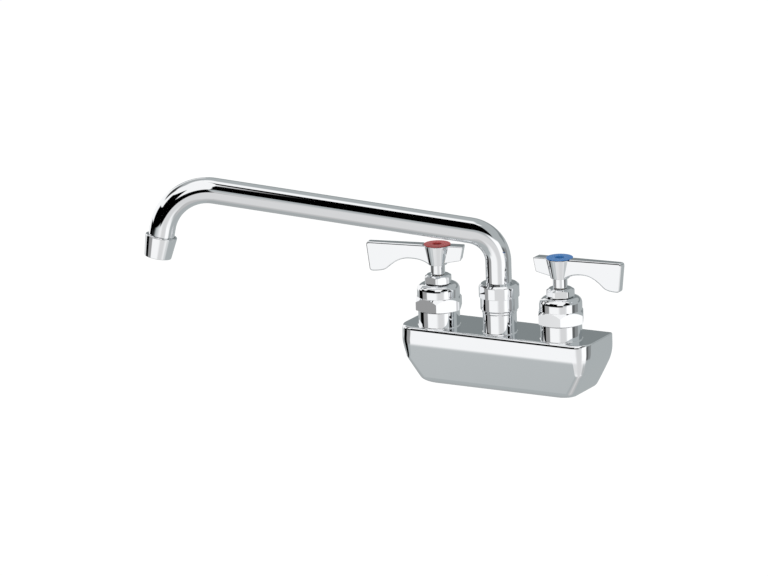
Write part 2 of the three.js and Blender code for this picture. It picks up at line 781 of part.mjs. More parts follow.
/** Everything on one valve axis: what stands still, and the handle that turns. */
function valve(name, side, { hexTurn, packingTurn, leverDirection, indexMaterial }) {
  const fixed = new THREE.Group();
  fixed.position.set((side * valveCentres) / 2, -axisFromWall, inletDrop);
  const sealTop = sealBottom + seatSealThickness;
  fixed.add(
    piece(`${name}_bonnet`, bonnet(hexTurn), materials.chrome),
    piece(`${name}_packing_nut`, packingNut(packingTurn), materials.chrome),
    piece(
      `${name}_packing_ring`,
      ring(stemBore, packingRadius, packingBottom, packingTop),
      materials.packing,
    ),
    piece(`${name}_cartridge_shell`, cartridgeShell(), materials.brass),
    piece(`${name}_fixed_disc`, valveDisc(fixedDiscBottom), materials.ceramic),
    piece(
      `${name}_seat_seal`,
      ring(seatPortRadius, cartridgeRadius, sealBottom, sealTop),
      materials.rubber,
    ),
  );
  const handle = new THREE.Group();
  handle.rotation.z = radians(leverDirection);
  handle.add(
    piece(`${name}_lever`, lever(), materials.chrome),
    piece(`${name}_index_ring`, indexRing(), indexMaterial),
    piece(`${name}_lever_screw`, leverScrew(), materials.steel),
    piece(`${name}_stem`, valveStem(), materials.brass),
    piece(
      `${name}_stem_o_ring`,
      grooveRing(stemRadius, stemRingDepth, stemRingLevel, stemRingHeight, plainSides),
      materials.rubber,
    ),
    piece(`${name}_moving_disc`, valveDisc(movingDiscBottom), materials.ceramic),
  );
  fixed.add(handle);
  return fixed;
}

// ---------------------------------------------------------------- inlets
/** A tube along Y: plain in the body, then threaded with the ribs of a pipe thread. */
function inletShank() {
  const bottom = -shankSocketDepth + seatGap;
  const bore = shankRadius - shankWall;
  const { depth, pitch, start, runout, plainEnd } = shankThread;
  const root = shankRadius - depth;
  const ribs = Math.floor((shankLength - plainEnd) / pitch);
  const profile = [
    [bore, bottom],
    [shankRadius, bottom],
    [shankRadius, 0],
    [root, runout],
    [root, start],
  ];
  for (let i = 0; i < ribs; i += 1) {
    profile.push([shankRadius, start + (i + 0.5) * pitch], [root, start + (i + 1) * pitch]);
  }
  profile.push([root, shankLength], [bore, shankLength]);
  return turned(profile).rotate([-90, 0, 0]);
}

/** A ring about the shank axis, between two Y values. */
function shankWasher(from, thickness) {
  const hole = shankRadius + threadGap;
  const outside = rodAlongY(hole + washerWidth, from, from + thickness, fineSides);
  return outside.subtract(rodAlongY(hole, from - overcut, from + thickness + overcut));
}

function shankNut(from) {
  const nut = hexagon({
    flats: shankNutFlats,
    corners: shankNutFlats + 2 * shankNutCornerRise,
    bottom: 0,
    top: shankNutHeight,
    turn: shankNutTurn,
    bottomChamfer: shankNutChamfer,
    topChamfer: shankNutChamfer,
  });
  const bore = rod(shankRadius + threadGap, -overcut, shankNutHeight + overcut);
  return nut.subtract(bore).rotate([-90, 0, 0]).translate(0, from, 0);
}

function inlet(name, side) {
  const group = new THREE.Group();
  group.position.x = (side * valveCentres) / 2;
  const sealFrom = wallThickness + seatGap;
  const plateFrom = sealFrom + sealWasherThickness + seatGap;
  const nutFrom = plateFrom + plateWasherThickness + seatGap;
  group.add(
    piece(`${name}_inlet_shank`, inletShank(), materials.brass),
    piece(
      `${name}_shank_seal_washer`,
      shankWasher(sealFrom, sealWasherThickness),
      materials.rubber,
    ),
    piece(
      `${name}_shank_plate_washer`,
      shankWasher(plateFrom, plateWasherThickness),
      materials.steel,
    ),
    piece(`${name}_shank_nut`, shankNut(nutFrom), materials.brass),
  );
  return group;
}

// ---------------------------------------------------------------- spout
/** A path of straight runs and bends in the X-Z plane, sampled closely only where it bends. */
class SpoutPath extends THREE.Curve {
  constructor(runs) {
    super();
    this.stations = [];
    let place = new THREE.Vector2(0, 0);
    let heading = 90;
    const mark = () => this.stations.push({ place: place.clone(), heading });
    for (const run of runs) {
      if (run.start) place = run.start.clone();
      if (this.stations.length === 0) mark();
      if (run.length) {
        const step = new THREE.Vector2(Math.cos(radians(heading)), Math.sin(radians(heading)));
        place = place.clone().addScaledVector(step, run.length);
        mark();
      }
      if (run.turn) {
        const steps = run.steps;
        for (let i = 0; i < steps; i += 1) {
          const next = heading - run.turn / steps;
          place = new THREE.Vector2(
            place.x + run.radius * (Math.sin(radians(heading)) - Math.sin(radians(next))),
            place.y + run.radius * (Math.cos(radians(next)) - Math.cos(radians(heading))),
          );
          heading = next;
          mark();
        }
      }
    }
  }

  /** Point at a station: u counts stations evenly, from 0 to 1. */
  getPointAt(u) {
    const { place } = this.stations[Math.round(u * (this.stations.length - 1))];
    return new THREE.Vector3(place.x, 0, place.y);
  }

  getPoint(t) {
    return this.getPointAt(t);
  }

  getTangentAt(u) {
    const { heading } = this.stations[Math.round(u * (this.stations.length - 1))];
    return new THREE.Vector3(Math.cos(radians(heading)), 0, Math.sin(radians(heading)));
  }

  getTangent(t) {
    return this.getTangentAt(t);
  }
}

function spoutPath() {
  return new SpoutPath([
    { start: new THREE.Vector2(0, tubeBottom), length: riserHeight - tubeBottom },
    { turn: riserTurn, radius: riserBendRadius, steps: riserBendSteps },
    { length: straightRun },
    { turn: tipTurn, radius: tipBendRadius, steps: tipBendSteps },
    { length: tipStraight - tubeEndInAerator },
  ]);
}

function spoutTube() {
  const section = new THREE.Shape().absarc(0, 0, tubeRadius, 0, 2 * Math.PI, false);
  section.holes.push(new THREE.Path().absarc(0, 0, tubeRadius - tubeWall, 0, 2 * Math.PI, true));
  const path = spoutPath();
  const geometry = new THREE.ExtrudeGeometry(section, {
    steps: path.stations.length - 1,
    curveSegments: tubeSides / 2,
    bevelEnabled: false,
    extrudePath: path,
  });
  return solidOf(geometry);
}

/** The brass sleeve brazed to the tube, which turns in the post on two rings. */
function swivelSleeve() {
  const outer = spoutBoreRadius - turnGap;
  const bottom = sleeveFlangeBottom - sleeveLength;
  const groove = outer - swivelRingDepth;
  const grooves = swivelRingLevels.flatMap((level) => [
    [outer, bottom + level],
    [groove, bottom + level],
    [groove, bottom + level + swivelRingHeight + 2 * ringSideGap],
    [outer, bottom + level + swivelRingHeight + 2 * ringSideGap],
  ]);
  const profile = [
    [outer - sleeveWall, bottom],
    [outer, bottom],
    ...grooves,
    [outer, sleeveFlangeBottom],
    [sleeveFlangeRadius, sleeveFlangeBottom],
    [sleeveFlangeRadius, sleeveTop],
    [tubeRadius + turnGap, sleeveTop],
    [tubeRadius + turnGap, sleeveFlangeTop],
    [outer - sleeveWall, sleeveFlangeTop],
  ];
  return turned(profile, fineSides);
}

function swivelRing(level) {
  const groove = sleeveFlangeBottom - sleeveLength + level;
  const shaft = spoutBoreRadius - turnGap;
  return grooveRing(shaft, swivelRingDepth, groove, swivelRingHeight, fineSides);
}

function spoutNut() {
  const step = nutBottom + nutLowerHeight;
  const lower = rod(nutLowerRadius, nutBottom, step + joinDepth, fineSides);
  const upper = hexagon({
    flats: nutFlats,
    corners: 2 * nutUpperRadius,
    bottom: step,
    top: nutTop,
    turn: nutTurn + 30,
    bottomChamfer: nutStepChamfer,
    topChamfer: nutChamfer,
  });
  const cavity = rod(spoutThreadRadius + threadGap, nutBottom - overcut, nutCeiling, fineSides);
  const mouth = rod(tubeRadius + turnGap, nutCeiling - overcut, nutTop + overcut, fineSides);
  return lower.add(upper).subtract(cavity).subtract(mouth);
}

/** The aerator about its own axis, with the outlet face at zero and the tube above. */
function aerator() {
  const group = new THREE.Group();
  const threadBore = tubeRadius + threadGap;
  const topRadius = threadBore + aeratorTopWall;
  const bottomRadius = topRadius - aeratorTaper;
  const cageRadius = bottomRadius - aeratorWall;
  const shoulder = aeratorHeight - aeratorEngagement - seatGap - aeratorWasherHeight - seatGap;
  const housing = turned(
    [
      [cageRadius - aeratorLip, 0],
      [bottomRadius - aeratorBottomEdge, 0],
      [bottomRadius, aeratorBottomEdge],
      [topRadius, aeratorHeight - aeratorTopEdge],
      [topRadius - aeratorTopEdge, aeratorHeight],
      [threadBore, aeratorHeight],
      [threadBore, shoulder],
      [cageRadius, shoulder],
      [cageRadius, aeratorLip],
      [cageRadius - aeratorLip, aeratorLip],
    ],
    fineSides,
  );
  const insertRadius = cageRadius - turnGap;
  const insertBottom = aeratorLip + seatGap;
  const insertTop = insertBottom + insertHeight;
  const hole = rod(insertHoleRadius, insertBottom - overcut, insertTop + overcut, smallSides);
  const holes = Array.from({ length: insertHoles }, (_, i) =>
    hole.translate(insertHoleCircle, 0, 0).rotate([0, 0, (360 * i) / insertHoles]),
  );
  const insert = wasm.Manifold.difference([rod(insertRadius, insertBottom, insertTop), ...holes]);
  const screenBottom = insertTop + seatGap;
  const screen = rod(insertRadius, screenBottom, screenBottom + screenThickness);
  const washerBottom = shoulder + seatGap;
  const washer = ring(
    threadBore - turnGap - aeratorWasherWall,
    threadBore - turnGap,
    washerBottom,
    washerBottom + aeratorWasherHeight,
    fineSides,
  );
  group.add(
    piece("aerator_housing", housing, materials.chrome),
    piece("aerator_insert", insert, materials.plastic),
    piece("aerator_screen", screen, materials.steel),
    piece("aerator_washer", washer, materials.rubber),
  );
  const path = spoutPath();
  const end = path.getPointAt(1);
  const axis = path.getTangentAt(1);
  group.position.copy(end).addScaledVector(axis, tubeEndInAerator);
  group.rotation.y = -radians(tipTilt);
  return group;
}

function spout() {
  const still = new THREE.Group();
  still.position.set(0, -axisFromWall, inletDrop);
  still.add(
    piece("spout_nut", spoutNut(), materials.chrome),
    piece(
      "spout_slip_ring",
      ring(
        tubeRadius + turnGap,
        sleeveFlangeRadius,
        slipRingBottom,
        slipRingBottom + slipRingHeight,
        fineSides,
      ),
      materials.packing,
    ),
  );
  const swinging = new THREE.Group();
  swinging.rotation.z = radians(180 + spoutSwing);
  swinging.add(
    piece("spout_tube", spoutTube(), materials.chrome),
    piece("spout_swivel_sleeve", swivelSleeve(), materials.brass),
    piece("spout_o_ring_lower", swivelRing(swivelRingLevels[0]), materials.rubber),
    piece("spout_o_ring_upper", swivelRing(swivelRingLevels[1]), materials.rubber),
    aerator(),
  );
  still.add(swinging);
  return still;
}

// ---------------------------------------------------------------- assembly
const faucet = new THREE.Group();
faucet.add(
  piece("faucet_body", bodyCasting(), materials.chrome),
  valve("hot", -1, {
    hexTurn: hotHexTurn,
    packingTurn: hotPackingTurn,
    leverDirection: 180 + hotLeverTurn,
    indexMaterial: materials.red,
  }),
  valve("cold", 1, {
    hexTurn: coldHexTurn,
    packingTurn: coldPackingTurn,
    leverDirection: -coldLeverTurn,
    indexMaterial: materials.blue,
  }),
  inlet("hot", -1),
  inlet("cold", 1),
  spout(),
);

export default faucet;
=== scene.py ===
"""Looks of a two-handle wall faucet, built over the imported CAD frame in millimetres."""

import logging
import math
from collections.abc import Callable, Iterable, Sequence
from dataclasses import dataclass
from enum import Enum

import bmesh
import bpy
from mathutils import Matrix, Vector

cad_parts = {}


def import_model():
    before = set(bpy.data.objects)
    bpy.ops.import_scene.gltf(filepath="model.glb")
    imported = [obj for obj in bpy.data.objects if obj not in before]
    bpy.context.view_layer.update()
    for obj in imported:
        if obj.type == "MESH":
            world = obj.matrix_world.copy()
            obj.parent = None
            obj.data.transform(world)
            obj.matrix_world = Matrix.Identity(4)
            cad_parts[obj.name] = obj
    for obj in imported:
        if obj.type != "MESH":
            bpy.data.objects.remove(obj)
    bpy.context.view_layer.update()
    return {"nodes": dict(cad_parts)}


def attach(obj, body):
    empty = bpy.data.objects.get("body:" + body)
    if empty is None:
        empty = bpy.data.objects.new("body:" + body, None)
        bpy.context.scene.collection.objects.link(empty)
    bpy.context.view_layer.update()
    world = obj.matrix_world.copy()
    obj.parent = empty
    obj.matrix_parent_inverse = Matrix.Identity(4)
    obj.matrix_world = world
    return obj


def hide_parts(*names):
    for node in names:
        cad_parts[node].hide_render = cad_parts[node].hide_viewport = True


log = logging.getLogger("faucet")

MM = 0.001
WHITE = (1.0, 1.0, 1.0, 1.0)

# Layout, in millimetres: the wall face is y = 0 and the inlets are at z = 0.
VALVE_X = 50.8
AXIS_Y = -29.0
BODY_TOP = 28.0

# The photographed pose, in degrees about Z: the spout from -X, the levers from +X.
SPOUT_SWING = 34.0
HOT_LEVER_DIRECTION = 198.0
COLD_LEVER_DIRECTION = -2.0


class Grain(Enum):
    """What breaks up the gloss of a finish."""

    POLISHED = "polished"
    TURNED = "turned"
    MOULDED = "moulded"


# ---------------------------------------------------------------- nodes
class NodeGraph:
    """A node tree with short ways to add the nodes that this scene needs."""

    def __init__(self, tree: bpy.types.NodeTree) -> None:
        """Empties the node tree of a material or a world."""
        self.tree = tree
        tree.nodes.clear()

    def add(self, kind: str, **settings: object) -> bpy.types.Node:
        """Adds a node.

        Args:
            kind: The node's type.
            settings: Properties of the node.

        Returns:
            The new node.
        """
        node = self.tree.nodes.new(kind)
        for name, value in settings.items():
            setattr(node, name, value)
        return node

    def feed(self, socket: bpy.types.NodeSocket, value: object) -> None:
        """Links a socket to another, or sets its value.

        Args:
            socket: The input to feed.
            value: An output socket, or a plain value.
        """
        if isinstance(value, bpy.types.NodeSocket):
            self.tree.links.new(value, socket)
        else:
            socket.default_value = value

    def math(self, operation: str, *values: object) -> bpy.types.NodeSocket:
        """Adds a Math node.

        Args:
            operation: Its operation.
            values: Its inputs, as sockets or numbers.

        Returns:
            Its result.
        """
        node = self.add("ShaderNodeMath", operation=operation)
        for socket, value in zip(node.inputs, values):
            self.feed(socket, value)
        return node.outputs[0]

    def dot(self, vector: object, axis: Vector) -> bpy.types.NodeSocket:
        """Adds a dot product.

        Args:
            vector: The vector's socket.
            axis: A fixed direction.

        Returns:
            The product.
        """
        node = self.add("ShaderNodeVectorMath", operation="DOT_PRODUCT")
        self.feed(node.inputs[0], vector)
        self.feed(node.inputs[1], tuple(axis))
        return node.outputs["Value"]

    def ramp(
        self, value: object, low: float, high: float, to: Sequence[float]
    ) -> bpy.types.NodeSocket:
        """Adds a smooth rise from one number to another.

        Args:
            value: The number that is read.
            low: Where the rise starts.
            high: Where it ends.
            to: The result below and above it.

        Returns:
            The result.
        """
        node = self.add("ShaderNodeMapRange", interpolation_type="SMOOTHSTEP")
        for name, number in zip(("Value", "From Min", "From Max"), (value, low, high)):
            self.feed(node.inputs[name], number)
        self.feed(node.inputs["To Min"], to[0])
        self.feed(node.inputs["To Max"], to[1])
        return node.outputs["Result"]

    def blend(self, factor: object, first: object, second: object) -> bpy.types.NodeSocket:
        """Adds a colour mix.

        Args:
            factor: The share of the second colour.
            first: The first colour.
            second: The second colour.

        Returns:
            The mixed colour.
        """
        node = self.add("ShaderNodeMix", data_type="RGBA")
        self.feed(node.inputs["Factor"], factor)
        self.feed(node.inputs[6], first)
        self.feed(node.inputs[7], second)
        return node.outputs[2]

    def mixed(self, share: object, *nodes: bpy.types.Node) -> bpy.types.NodeSocket:
        """Adds a mix of two shaders.

        Args:
            share: The share of the second.
            nodes: The two shaders.

        Returns:
            The mixed shader.
        """
        mix = self.add("ShaderNodeMixShader")
        for socket, value in zip(mix.inputs, (share, *(node.outputs[0] for node in nodes))):
            self.feed(socket, value)
        return mix.outputs[0]


# ---------------------------------------------------------------- finishes
@dataclass(frozen=True)
class Finish:
    """A material: its colour, its gloss and the grain that breaks it up.

    The roughness goes from its first value to its second as the grain rises. The relief is in
    millimetres, and the shade is how much darker the colour gets where the grain is low.
    """

    GRAIN_SPAN = (0.3, 0.7)
    GRAIN_DETAIL = {Grain.POLISHED: 3.0, Grain.TURNED: 2.0, Grain.MOULDED: 2.0}
    TURNED_STRETCH = (0.04, 1.0, 1.0)
    RELIEF_STRENGTH = 0.6

    name: str
    colour: tuple[float, float, float]
    metallic: float
    roughness: tuple[float, float]
    grain: Grain
    grain_per_mm: float
    relief: float = 0.0
    shade: float = 0.0

    def material(self) -> bpy.types.Material:
        """Builds the material, or returns the one already built.

        Returns:
            The material.
        """
        name = f"{self.name}_finish"
        known = bpy.data.materials.get(name)
        if known:
            return known
        material = bpy.data.materials.new(name)
        material.use_nodes = True
        graph = NodeGraph(material.node_tree)
        shader = graph.add("ShaderNodeBsdfPrincipled")
        shader.inputs["Metallic"].default_value = self.metallic
        pattern = self._pattern(graph)
        darker = tuple(c * (1 - self.shade) for c in self.colour)
        colour = graph.blend(pattern, (*darker, 1.0), (*self.colour, 1.0))
        graph.feed(shader.inputs["Base Color"], colour)
        rough = graph.ramp(pattern, *self.GRAIN_SPAN, self.roughness)
        graph.feed(shader.inputs["Roughness"], rough)
        if self.relief:
            bump = graph.add("ShaderNodeBump")
            bump.inputs["Strength"].default_value = self.RELIEF_STRENGTH
            bump.inputs["Distance"].default_value = self.relief * MM
            graph.feed(bump.inputs["Height"], pattern)
            graph.feed(shader.inputs["Normal"], bump.outputs["Normal"])
        output = graph.add("ShaderNodeOutputMaterial")
        graph.feed(output.inputs["Surface"], shader.outputs[0])
        material.diffuse_color = (*self.colour, 1.0)
        return material

    def _pattern(self, graph: NodeGraph) -> bpy.types.NodeSocket:
        """Adds the grain.

        Args:
            graph: The material's nodes.

        Returns:
            A number from 0 to 1 that varies over the surface.
        """
        place = graph.add("ShaderNodeTexCoord").outputs["Object"]
        if self.grain is Grain.TURNED:
            mapping = graph.add("ShaderNodeMapping")
            mapping.inputs["Scale"].default_value = self.TURNED_STRETCH
            graph.feed(mapping.inputs["Vector"], place)
            place = mapping.outputs[0]
        noise = graph.add("ShaderNodeTexNoise")
        noise.inputs["Scale"].default_value = self.grain_per_mm / MM
        noise.inputs["Detail"].default_value = self.GRAIN_DETAIL[self.grain]
        graph.feed(noise.inputs["Vector"], place)
        return noise.outputs[0]


CHROME = Finish(
    "chrome_plate", (0.93, 0.94, 0.955), 1.0, (0.012, 0.025), Grain.POLISHED, 0.03, shade=0.02
)
STEEL = Finish("stainless_steel", (0.62, 0.62, 0.61), 1.0, (0.22, 0.34), Grain.TURNED, 1.6)
BRASS = Finish("brass", (0.73, 0.56, 0.27), 1.0, (0.20, 0.32), Grain.TURNED, 1.2, shade=0.08)
RUBBER = Finish(
    "black_rubber", (0.03, 0.03, 0.032), 0.0, (0.5, 0.7), Grain.MOULDED, 1.5, 0.02, 0.3
)
CERAMIC = Finish("ceramic", (0.86, 0.85, 0.82), 0.0, (0.12, 0.2), Grain.MOULDED, 0.6, shade=0.04)
PACKING = Finish(
    "white_packing", (0.82, 0.82, 0.79), 0.0, (0.45, 0.6), Grain.MOULDED, 1.5, 0.02, 0.06
)
GREY_PLASTIC = Finish(
    "grey_plastic", (0.60, 0.61, 0.61), 0.0, (0.35, 0.5), Grain.MOULDED, 1.8, 0.01, 0.06
)
INDEX_RED = Finish(
    "index_red", (0.52, 0.06, 0.06), 0.0, (0.25, 0.4), Grain.MOULDED, 1.2, 0.01, 0.12
)
INDEX_BLUE = Finish(
    "index_blue", (0.04, 0.19, 0.50), 0.0, (0.25, 0.4), Grain.MOULDED, 1.2, 0.01, 0.12
)


# ---------------------------------------------------------------- mesh work
@dataclass(frozen=True)
class Corner:
    """A corner of a turned profile, in millimetres, with the radius of its rounding."""

    radius: float
    height: float
    edge: float = 0.0


def only(found: Iterable, kind: type) -> list:
    """Returns the elements of one kind."""
    return [element for element in found if isinstance(element, kind)]


def push(part: bmesh.types.BMesh, face: bmesh.types.BMFace, way: Vector) -> None:
    """Extrudes a face of a mesh along a vector."""
    pushed = bmesh.ops.extrude_face_region(part, geom=[face])["geom"]
    bmesh.ops.translate(part, verts=only(pushed, bmesh.types.BMVert), vec=way)


def linked(name: str, data: bpy.types.ID) -> bpy.types.Object:
    """Makes an object in the scene.

    Args:
        name: Its name.
        data: Its mesh, light or camera.

    Returns:
        The object.
    """
    made = bpy.data.objects.new(name, data)
    bpy.context.scene.collection.objects.link(made)
    return made


class Shape:
    """A mesh in the making, in millimetres."""

    ROUND_STEPS = 5
    SMOOTH_BELOW = math.radians(28)
    MERGE = 1e-4
    CUT = 1e-5
    LEVEL = 1e-6
    UPRIGHT = 0.01
    FLAT_CORNERS = 20
    SINK_STEP = 0.05

    def __init__(self) -> None:
        """Starts with nothing."""
        self.bm = bmesh.new()

    def _all(self) -> list:
        """Every vertex, edge and face."""
        return [*self.bm.verts, *self.bm.edges, *self.bm.faces]

    def turn(self, profile: Sequence[Corner], sides: int = 96) -> "Shape":
        """Turns a closed profile about Z, its corners rounded first.

        Args:
            profile: The corners, anticlockwise.
            sides: Steps of the full turn.

        Returns:
            The shape itself.
        """
        part = bmesh.new()
        verts = [part.verts.new((c.radius, 0.0, c.height)) for c in profile]
        for first, second in zip(verts, verts[1:] + verts[:1]):
            if first.co.x > 0 or second.co.x > 0:
                part.edges.new((first, second))
        for i, corner in enumerate(profile):
            if corner.edge:
                before, after = profile[i - 1], profile[(i + 1) % len(profile)]
                into = Vector((corner.radius - before.radius, corner.height - before.height))
                out = Vector((after.radius - corner.radius, after.height - corner.height))
                cut = corner.edge * math.tan(into.angle(out) / 2)
                bmesh.ops.bevel(
                    part, geom=[verts[i]], offset=cut, segments=self.ROUND_STEPS,
                    profile=0.5, affect="VERTICES", clamp_overlap=True, material=-1,
                )
        bmesh.ops.spin(
            part, geom=[*part.verts, *part.edges], cent=(0, 0, 0), axis=(0, 0, 1),
            angle=math.tau, steps=sides, use_merge=True,
        )
        bmesh.ops.remove_doubles(part, verts=part.verts, dist=self.MERGE)
        bmesh.ops.recalc_face_normals(part, faces=part.faces)
        self._take(part)
        return self

    def _take(self, part: bmesh.types.BMesh) -> None:
        """Adds a loose part to the shape.

        Args:
            part: The part, which is used up.
        """
        mesh = bpy.data.meshes.new("part")
        part.to_mesh(mesh)
        part.free()
        self.bm.from_mesh(mesh)
        bpy.data.meshes.remove(mesh)

    def join(self, other: "Shape") -> "Shape":
        """Adds another shape, which is used up, and returns this one."""
        self._take(other.bm)
        return self

    def drape(self, columns: int, rows: int, place: Callable[[int, int], Vector]) -> "Shape":
        """Wraps a grid into a closed tube of rings and fills its two ends.

        Args:
            columns: Points of a ring.
            rows: Steps between the first ring and the last.
            place: The place of a point from its column and its row.

        Returns:
            The shape itself.
        """
        part = bmesh.new()
        bmesh.ops.create_grid(part, x_segments=columns, y_segments=rows, size=1.0)
        for vert in part.verts:
            column = round((vert.co.x + 1) / 2 * columns)
            row = round((vert.co.y + 1) / 2 * rows)
            vert.co = place(column % columns, row)
        bmesh.ops.remove_doubles(part, verts=part.verts, dist=self.MERGE)
        bmesh.ops.holes_fill(part, edges=[e for e in part.edges if e.is_boundary], sides=0)
        bmesh.ops.recalc_face_normals(part, faces=part.faces)
        self._take(part)
        return self

    def plane_off(self, normal: Vector, distance: float) -> "Shape":
        """Cuts away what lies past a plane and closes the cut.

        Args:
            normal: The plane's normal.
            distance: How far from the origin it lies.

        Returns:
            The shape itself.
        """
        cut = bmesh.ops.bisect_plane(
            self.bm, geom=self._all(), dist=self.CUT, plane_co=normal * distance,
            plane_no=normal, clear_outer=True,
        )
        rim = only(cut["geom_cut"], bmesh.types.BMEdge)
        if rim:
            bmesh.ops.contextual_create(self.bm, geom=rim)
        return self

    def _is_flat(self, face: bmesh.types.BMFace) -> bool:
        """Whether a face is an upright flat, cut across the steps of a turned shape."""
        return len(face.verts) > self.FLAT_CORNERS and abs(face.normal.z) < self.UPRIGHT

    def hexagon(self, flats: float, turn: float, edge: float = 0.15) -> "Shape":
        """Cuts six flats on a turned shape and breaks their edges.

        Args:
            flats: Width over the flats.
            turn: A corner's angle from straight out, in degrees.
            edge: Width of the broken edges.

        Returns:
            The shape itself.
        """
        for i in range(6):
            angle = math.radians(turn - 60 + 60 * i)
            self.plane_off(Vector((math.cos(angle), math.sin(angle), 0)), flats / 2)
        bmesh.ops.recalc_face_normals(self.bm, faces=self.bm.faces)
        rims = [
            e for e in self.bm.edges
            if len(e.link_faces) == 2 and any(self._is_flat(f) for f in e.link_faces)
        ]
        bmesh.ops.bevel(
            self.bm, geom=rims, offset=edge, segments=2, profile=0.5,
            affect="EDGES", clamp_overlap=True, material=-1,
        )
        return self

    def socket(self, top: float, wall: float, reach: float, depth: float) -> "Shape":
        """Sinks a hexagon socket into a flat crown.

        Args:
            top: The crown's height.
            wall: The width of the rim that is left.
            reach: Half the socket's width over its flats.
            depth: Its depth.

        Returns:
            The shape itself.
        """
        crown = [f for f in self.bm.faces if min(v.co.z for v in f.verts) > top - self.MERGE]
        bmesh.ops.dissolve_faces(self.bm, faces=crown)
        lid = max(self.bm.faces, key=lambda f: f.calc_center_median().z)
        bmesh.ops.inset_individual(self.bm, faces=[lid], thickness=wall)
        sixth = math.radians(60)
        for vert in lid.verts:
            angle = math.atan2(vert.co.y, vert.co.x)
            span = reach / math.cos((angle + sixth / 2) % sixth - sixth / 2)
            vert.co.x, vert.co.y = span * math.cos(angle), span * math.sin(angle)
        push(self.bm, lid, Vector((0, 0, -depth)))
        bmesh.ops.delete(self.bm, geom=[lid], context="FACES_ONLY")
        bmesh.ops.recalc_face_normals(self.bm, faces=self.bm.faces)
        return self

    def slab(
        self, outline: Sequence[tuple[float, float]], thickness: float, edge: float,
        sharp: Callable[[Vector], bool],
    ) -> "Shape":
        """Extrudes a side view in the X-Z plane to both sides and rounds its rims.

        Args:
            outline: The side view's points.
            thickness: The full thickness.
            edge: The radius of the rounded rims.
            sharp: Whether a rim edge with that middle stays sharp.

        Returns:
            The shape itself.
        """
        part = bmesh.new()
        verts = [part.verts.new((x, -thickness / 2, z)) for x, z in outline]
        push(part, part.faces.new(verts), Vector((0, thickness, 0)))
        bmesh.ops.recalc_face_normals(part, faces=part.faces)
        rims = [
            e for e in part.edges
            if abs(e.verts[0].co.y - e.verts[1].co.y) < self.LEVEL
            and not sharp((e.verts[0].co + e.verts[1].co) / 2)
        ]
        bmesh.ops.bevel(
            part, geom=rims, offset=edge, segments=self.ROUND_STEPS, profile=0.5,
            affect="EDGES", clamp_overlap=True, material=-1,
        )
        self._take(part)
        return self

    def sink(self, reach: float, height: float) -> "Shape":
        """Lowers what stands too high near the origin, as far as a place along +X.

        Args:
            reach: How far along +X the lowered part goes.
            height: The height that is left there.

        Returns:
            The shape itself.
        """
        for place in (reach, reach + self.SINK_STEP):
            bmesh.ops.bisect_plane(
                self.bm, geom=self._all(), dist=self.CUT, plane_co=(place, 0, 0), plane_no=(1, 0, 0)
            )
        for vert in self.bm.verts:
            if vert.co.x < reach + self.SINK_STEP / 2:
                vert.co.z = min(vert.co.z, height)
        return self

    def narrow(self, reach: float, share: float) -> "Shape":
        """Narrows a shape in Y along +X.

        Args:
            reach: Where the narrowing is complete.
            share: The width left there.

        Returns:
            The shape itself.
        """
        for vert in self.bm.verts:
            along = min(max(vert.co.x / reach, 0.0), 1.0)
            vert.co.y *= 1 + (share - 1) * along
        return self

    def move(self, *matrices: Matrix) -> "Shape":
        """Moves the shape.

        Args:
            matrices: The moves, the last one first.

        Returns:
            The shape itself.
        """
        whole = Matrix.Identity(4)
        for matrix in matrices:
            whole = whole @ matrix
        bmesh.ops.transform(self.bm, matrix=whole, verts=self.bm.verts)
        return self

    def finish(self, name: str, look: Finish, body: str, *nodes: str) -> bpy.types.Object:
        """Makes the shape a dressed piece of the object, in metres.

        Args:
            name: The piece's name.
            look: Its finish.
            body: The CAD body that it moves with.
            nodes: The CAD nodes that it stands for.

        Returns:
            The piece.
        """
        bmesh.ops.scale(self.bm, vec=(MM, MM, MM), verts=self.bm.verts)
        for face in self.bm.faces:
            face.smooth = True
        for edge in self.bm.edges:
            edge.smooth = edge.calc_face_angle(0.0) < self.SMOOTH_BELOW
        mesh = bpy.data.meshes.new(name)
        self.bm.to_mesh(mesh)
        self.bm.free()
        piece = linked(name, mesh)
        even = piece.modifiers.new("even_normals", "WEIGHTED_NORMAL")
        even.keep_sharp = True
        mesh.materials.append(look.material())
        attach(piece, body)
        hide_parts(*nodes)
        log.info("%s: %d faces", name, len(mesh.polygons))
        return piece


def turned_by(degrees: float, axis: str = "Z") -> Matrix:
    """Returns a turn about an axis through the origin."""
    return Matrix.Rotation(math.radians(degrees), 4, axis)


def shifted(x: float, y: float, z: float) -> Matrix:
    """Returns a shift, in millimetres."""
    return Matrix.Translation((x, y, z))


def bezier(points: Sequence[tuple[float, float]], steps: int) -> list[tuple[float, float]]:
    """Samples a Bezier curve of any degree, without its first point.

    Args:
        points: Its control points.
        steps: How many points to take.

    Returns:
        The points.
    """
    found = []
    for i in range(1, steps + 1):
        layer = [Vector(p) for p in points]
        while len(layer) > 1:
            layer = [a.lerp(b, i / steps) for a, b in zip(layer, layer[1:])]
        found.append(tuple(layer[0]))
    return found


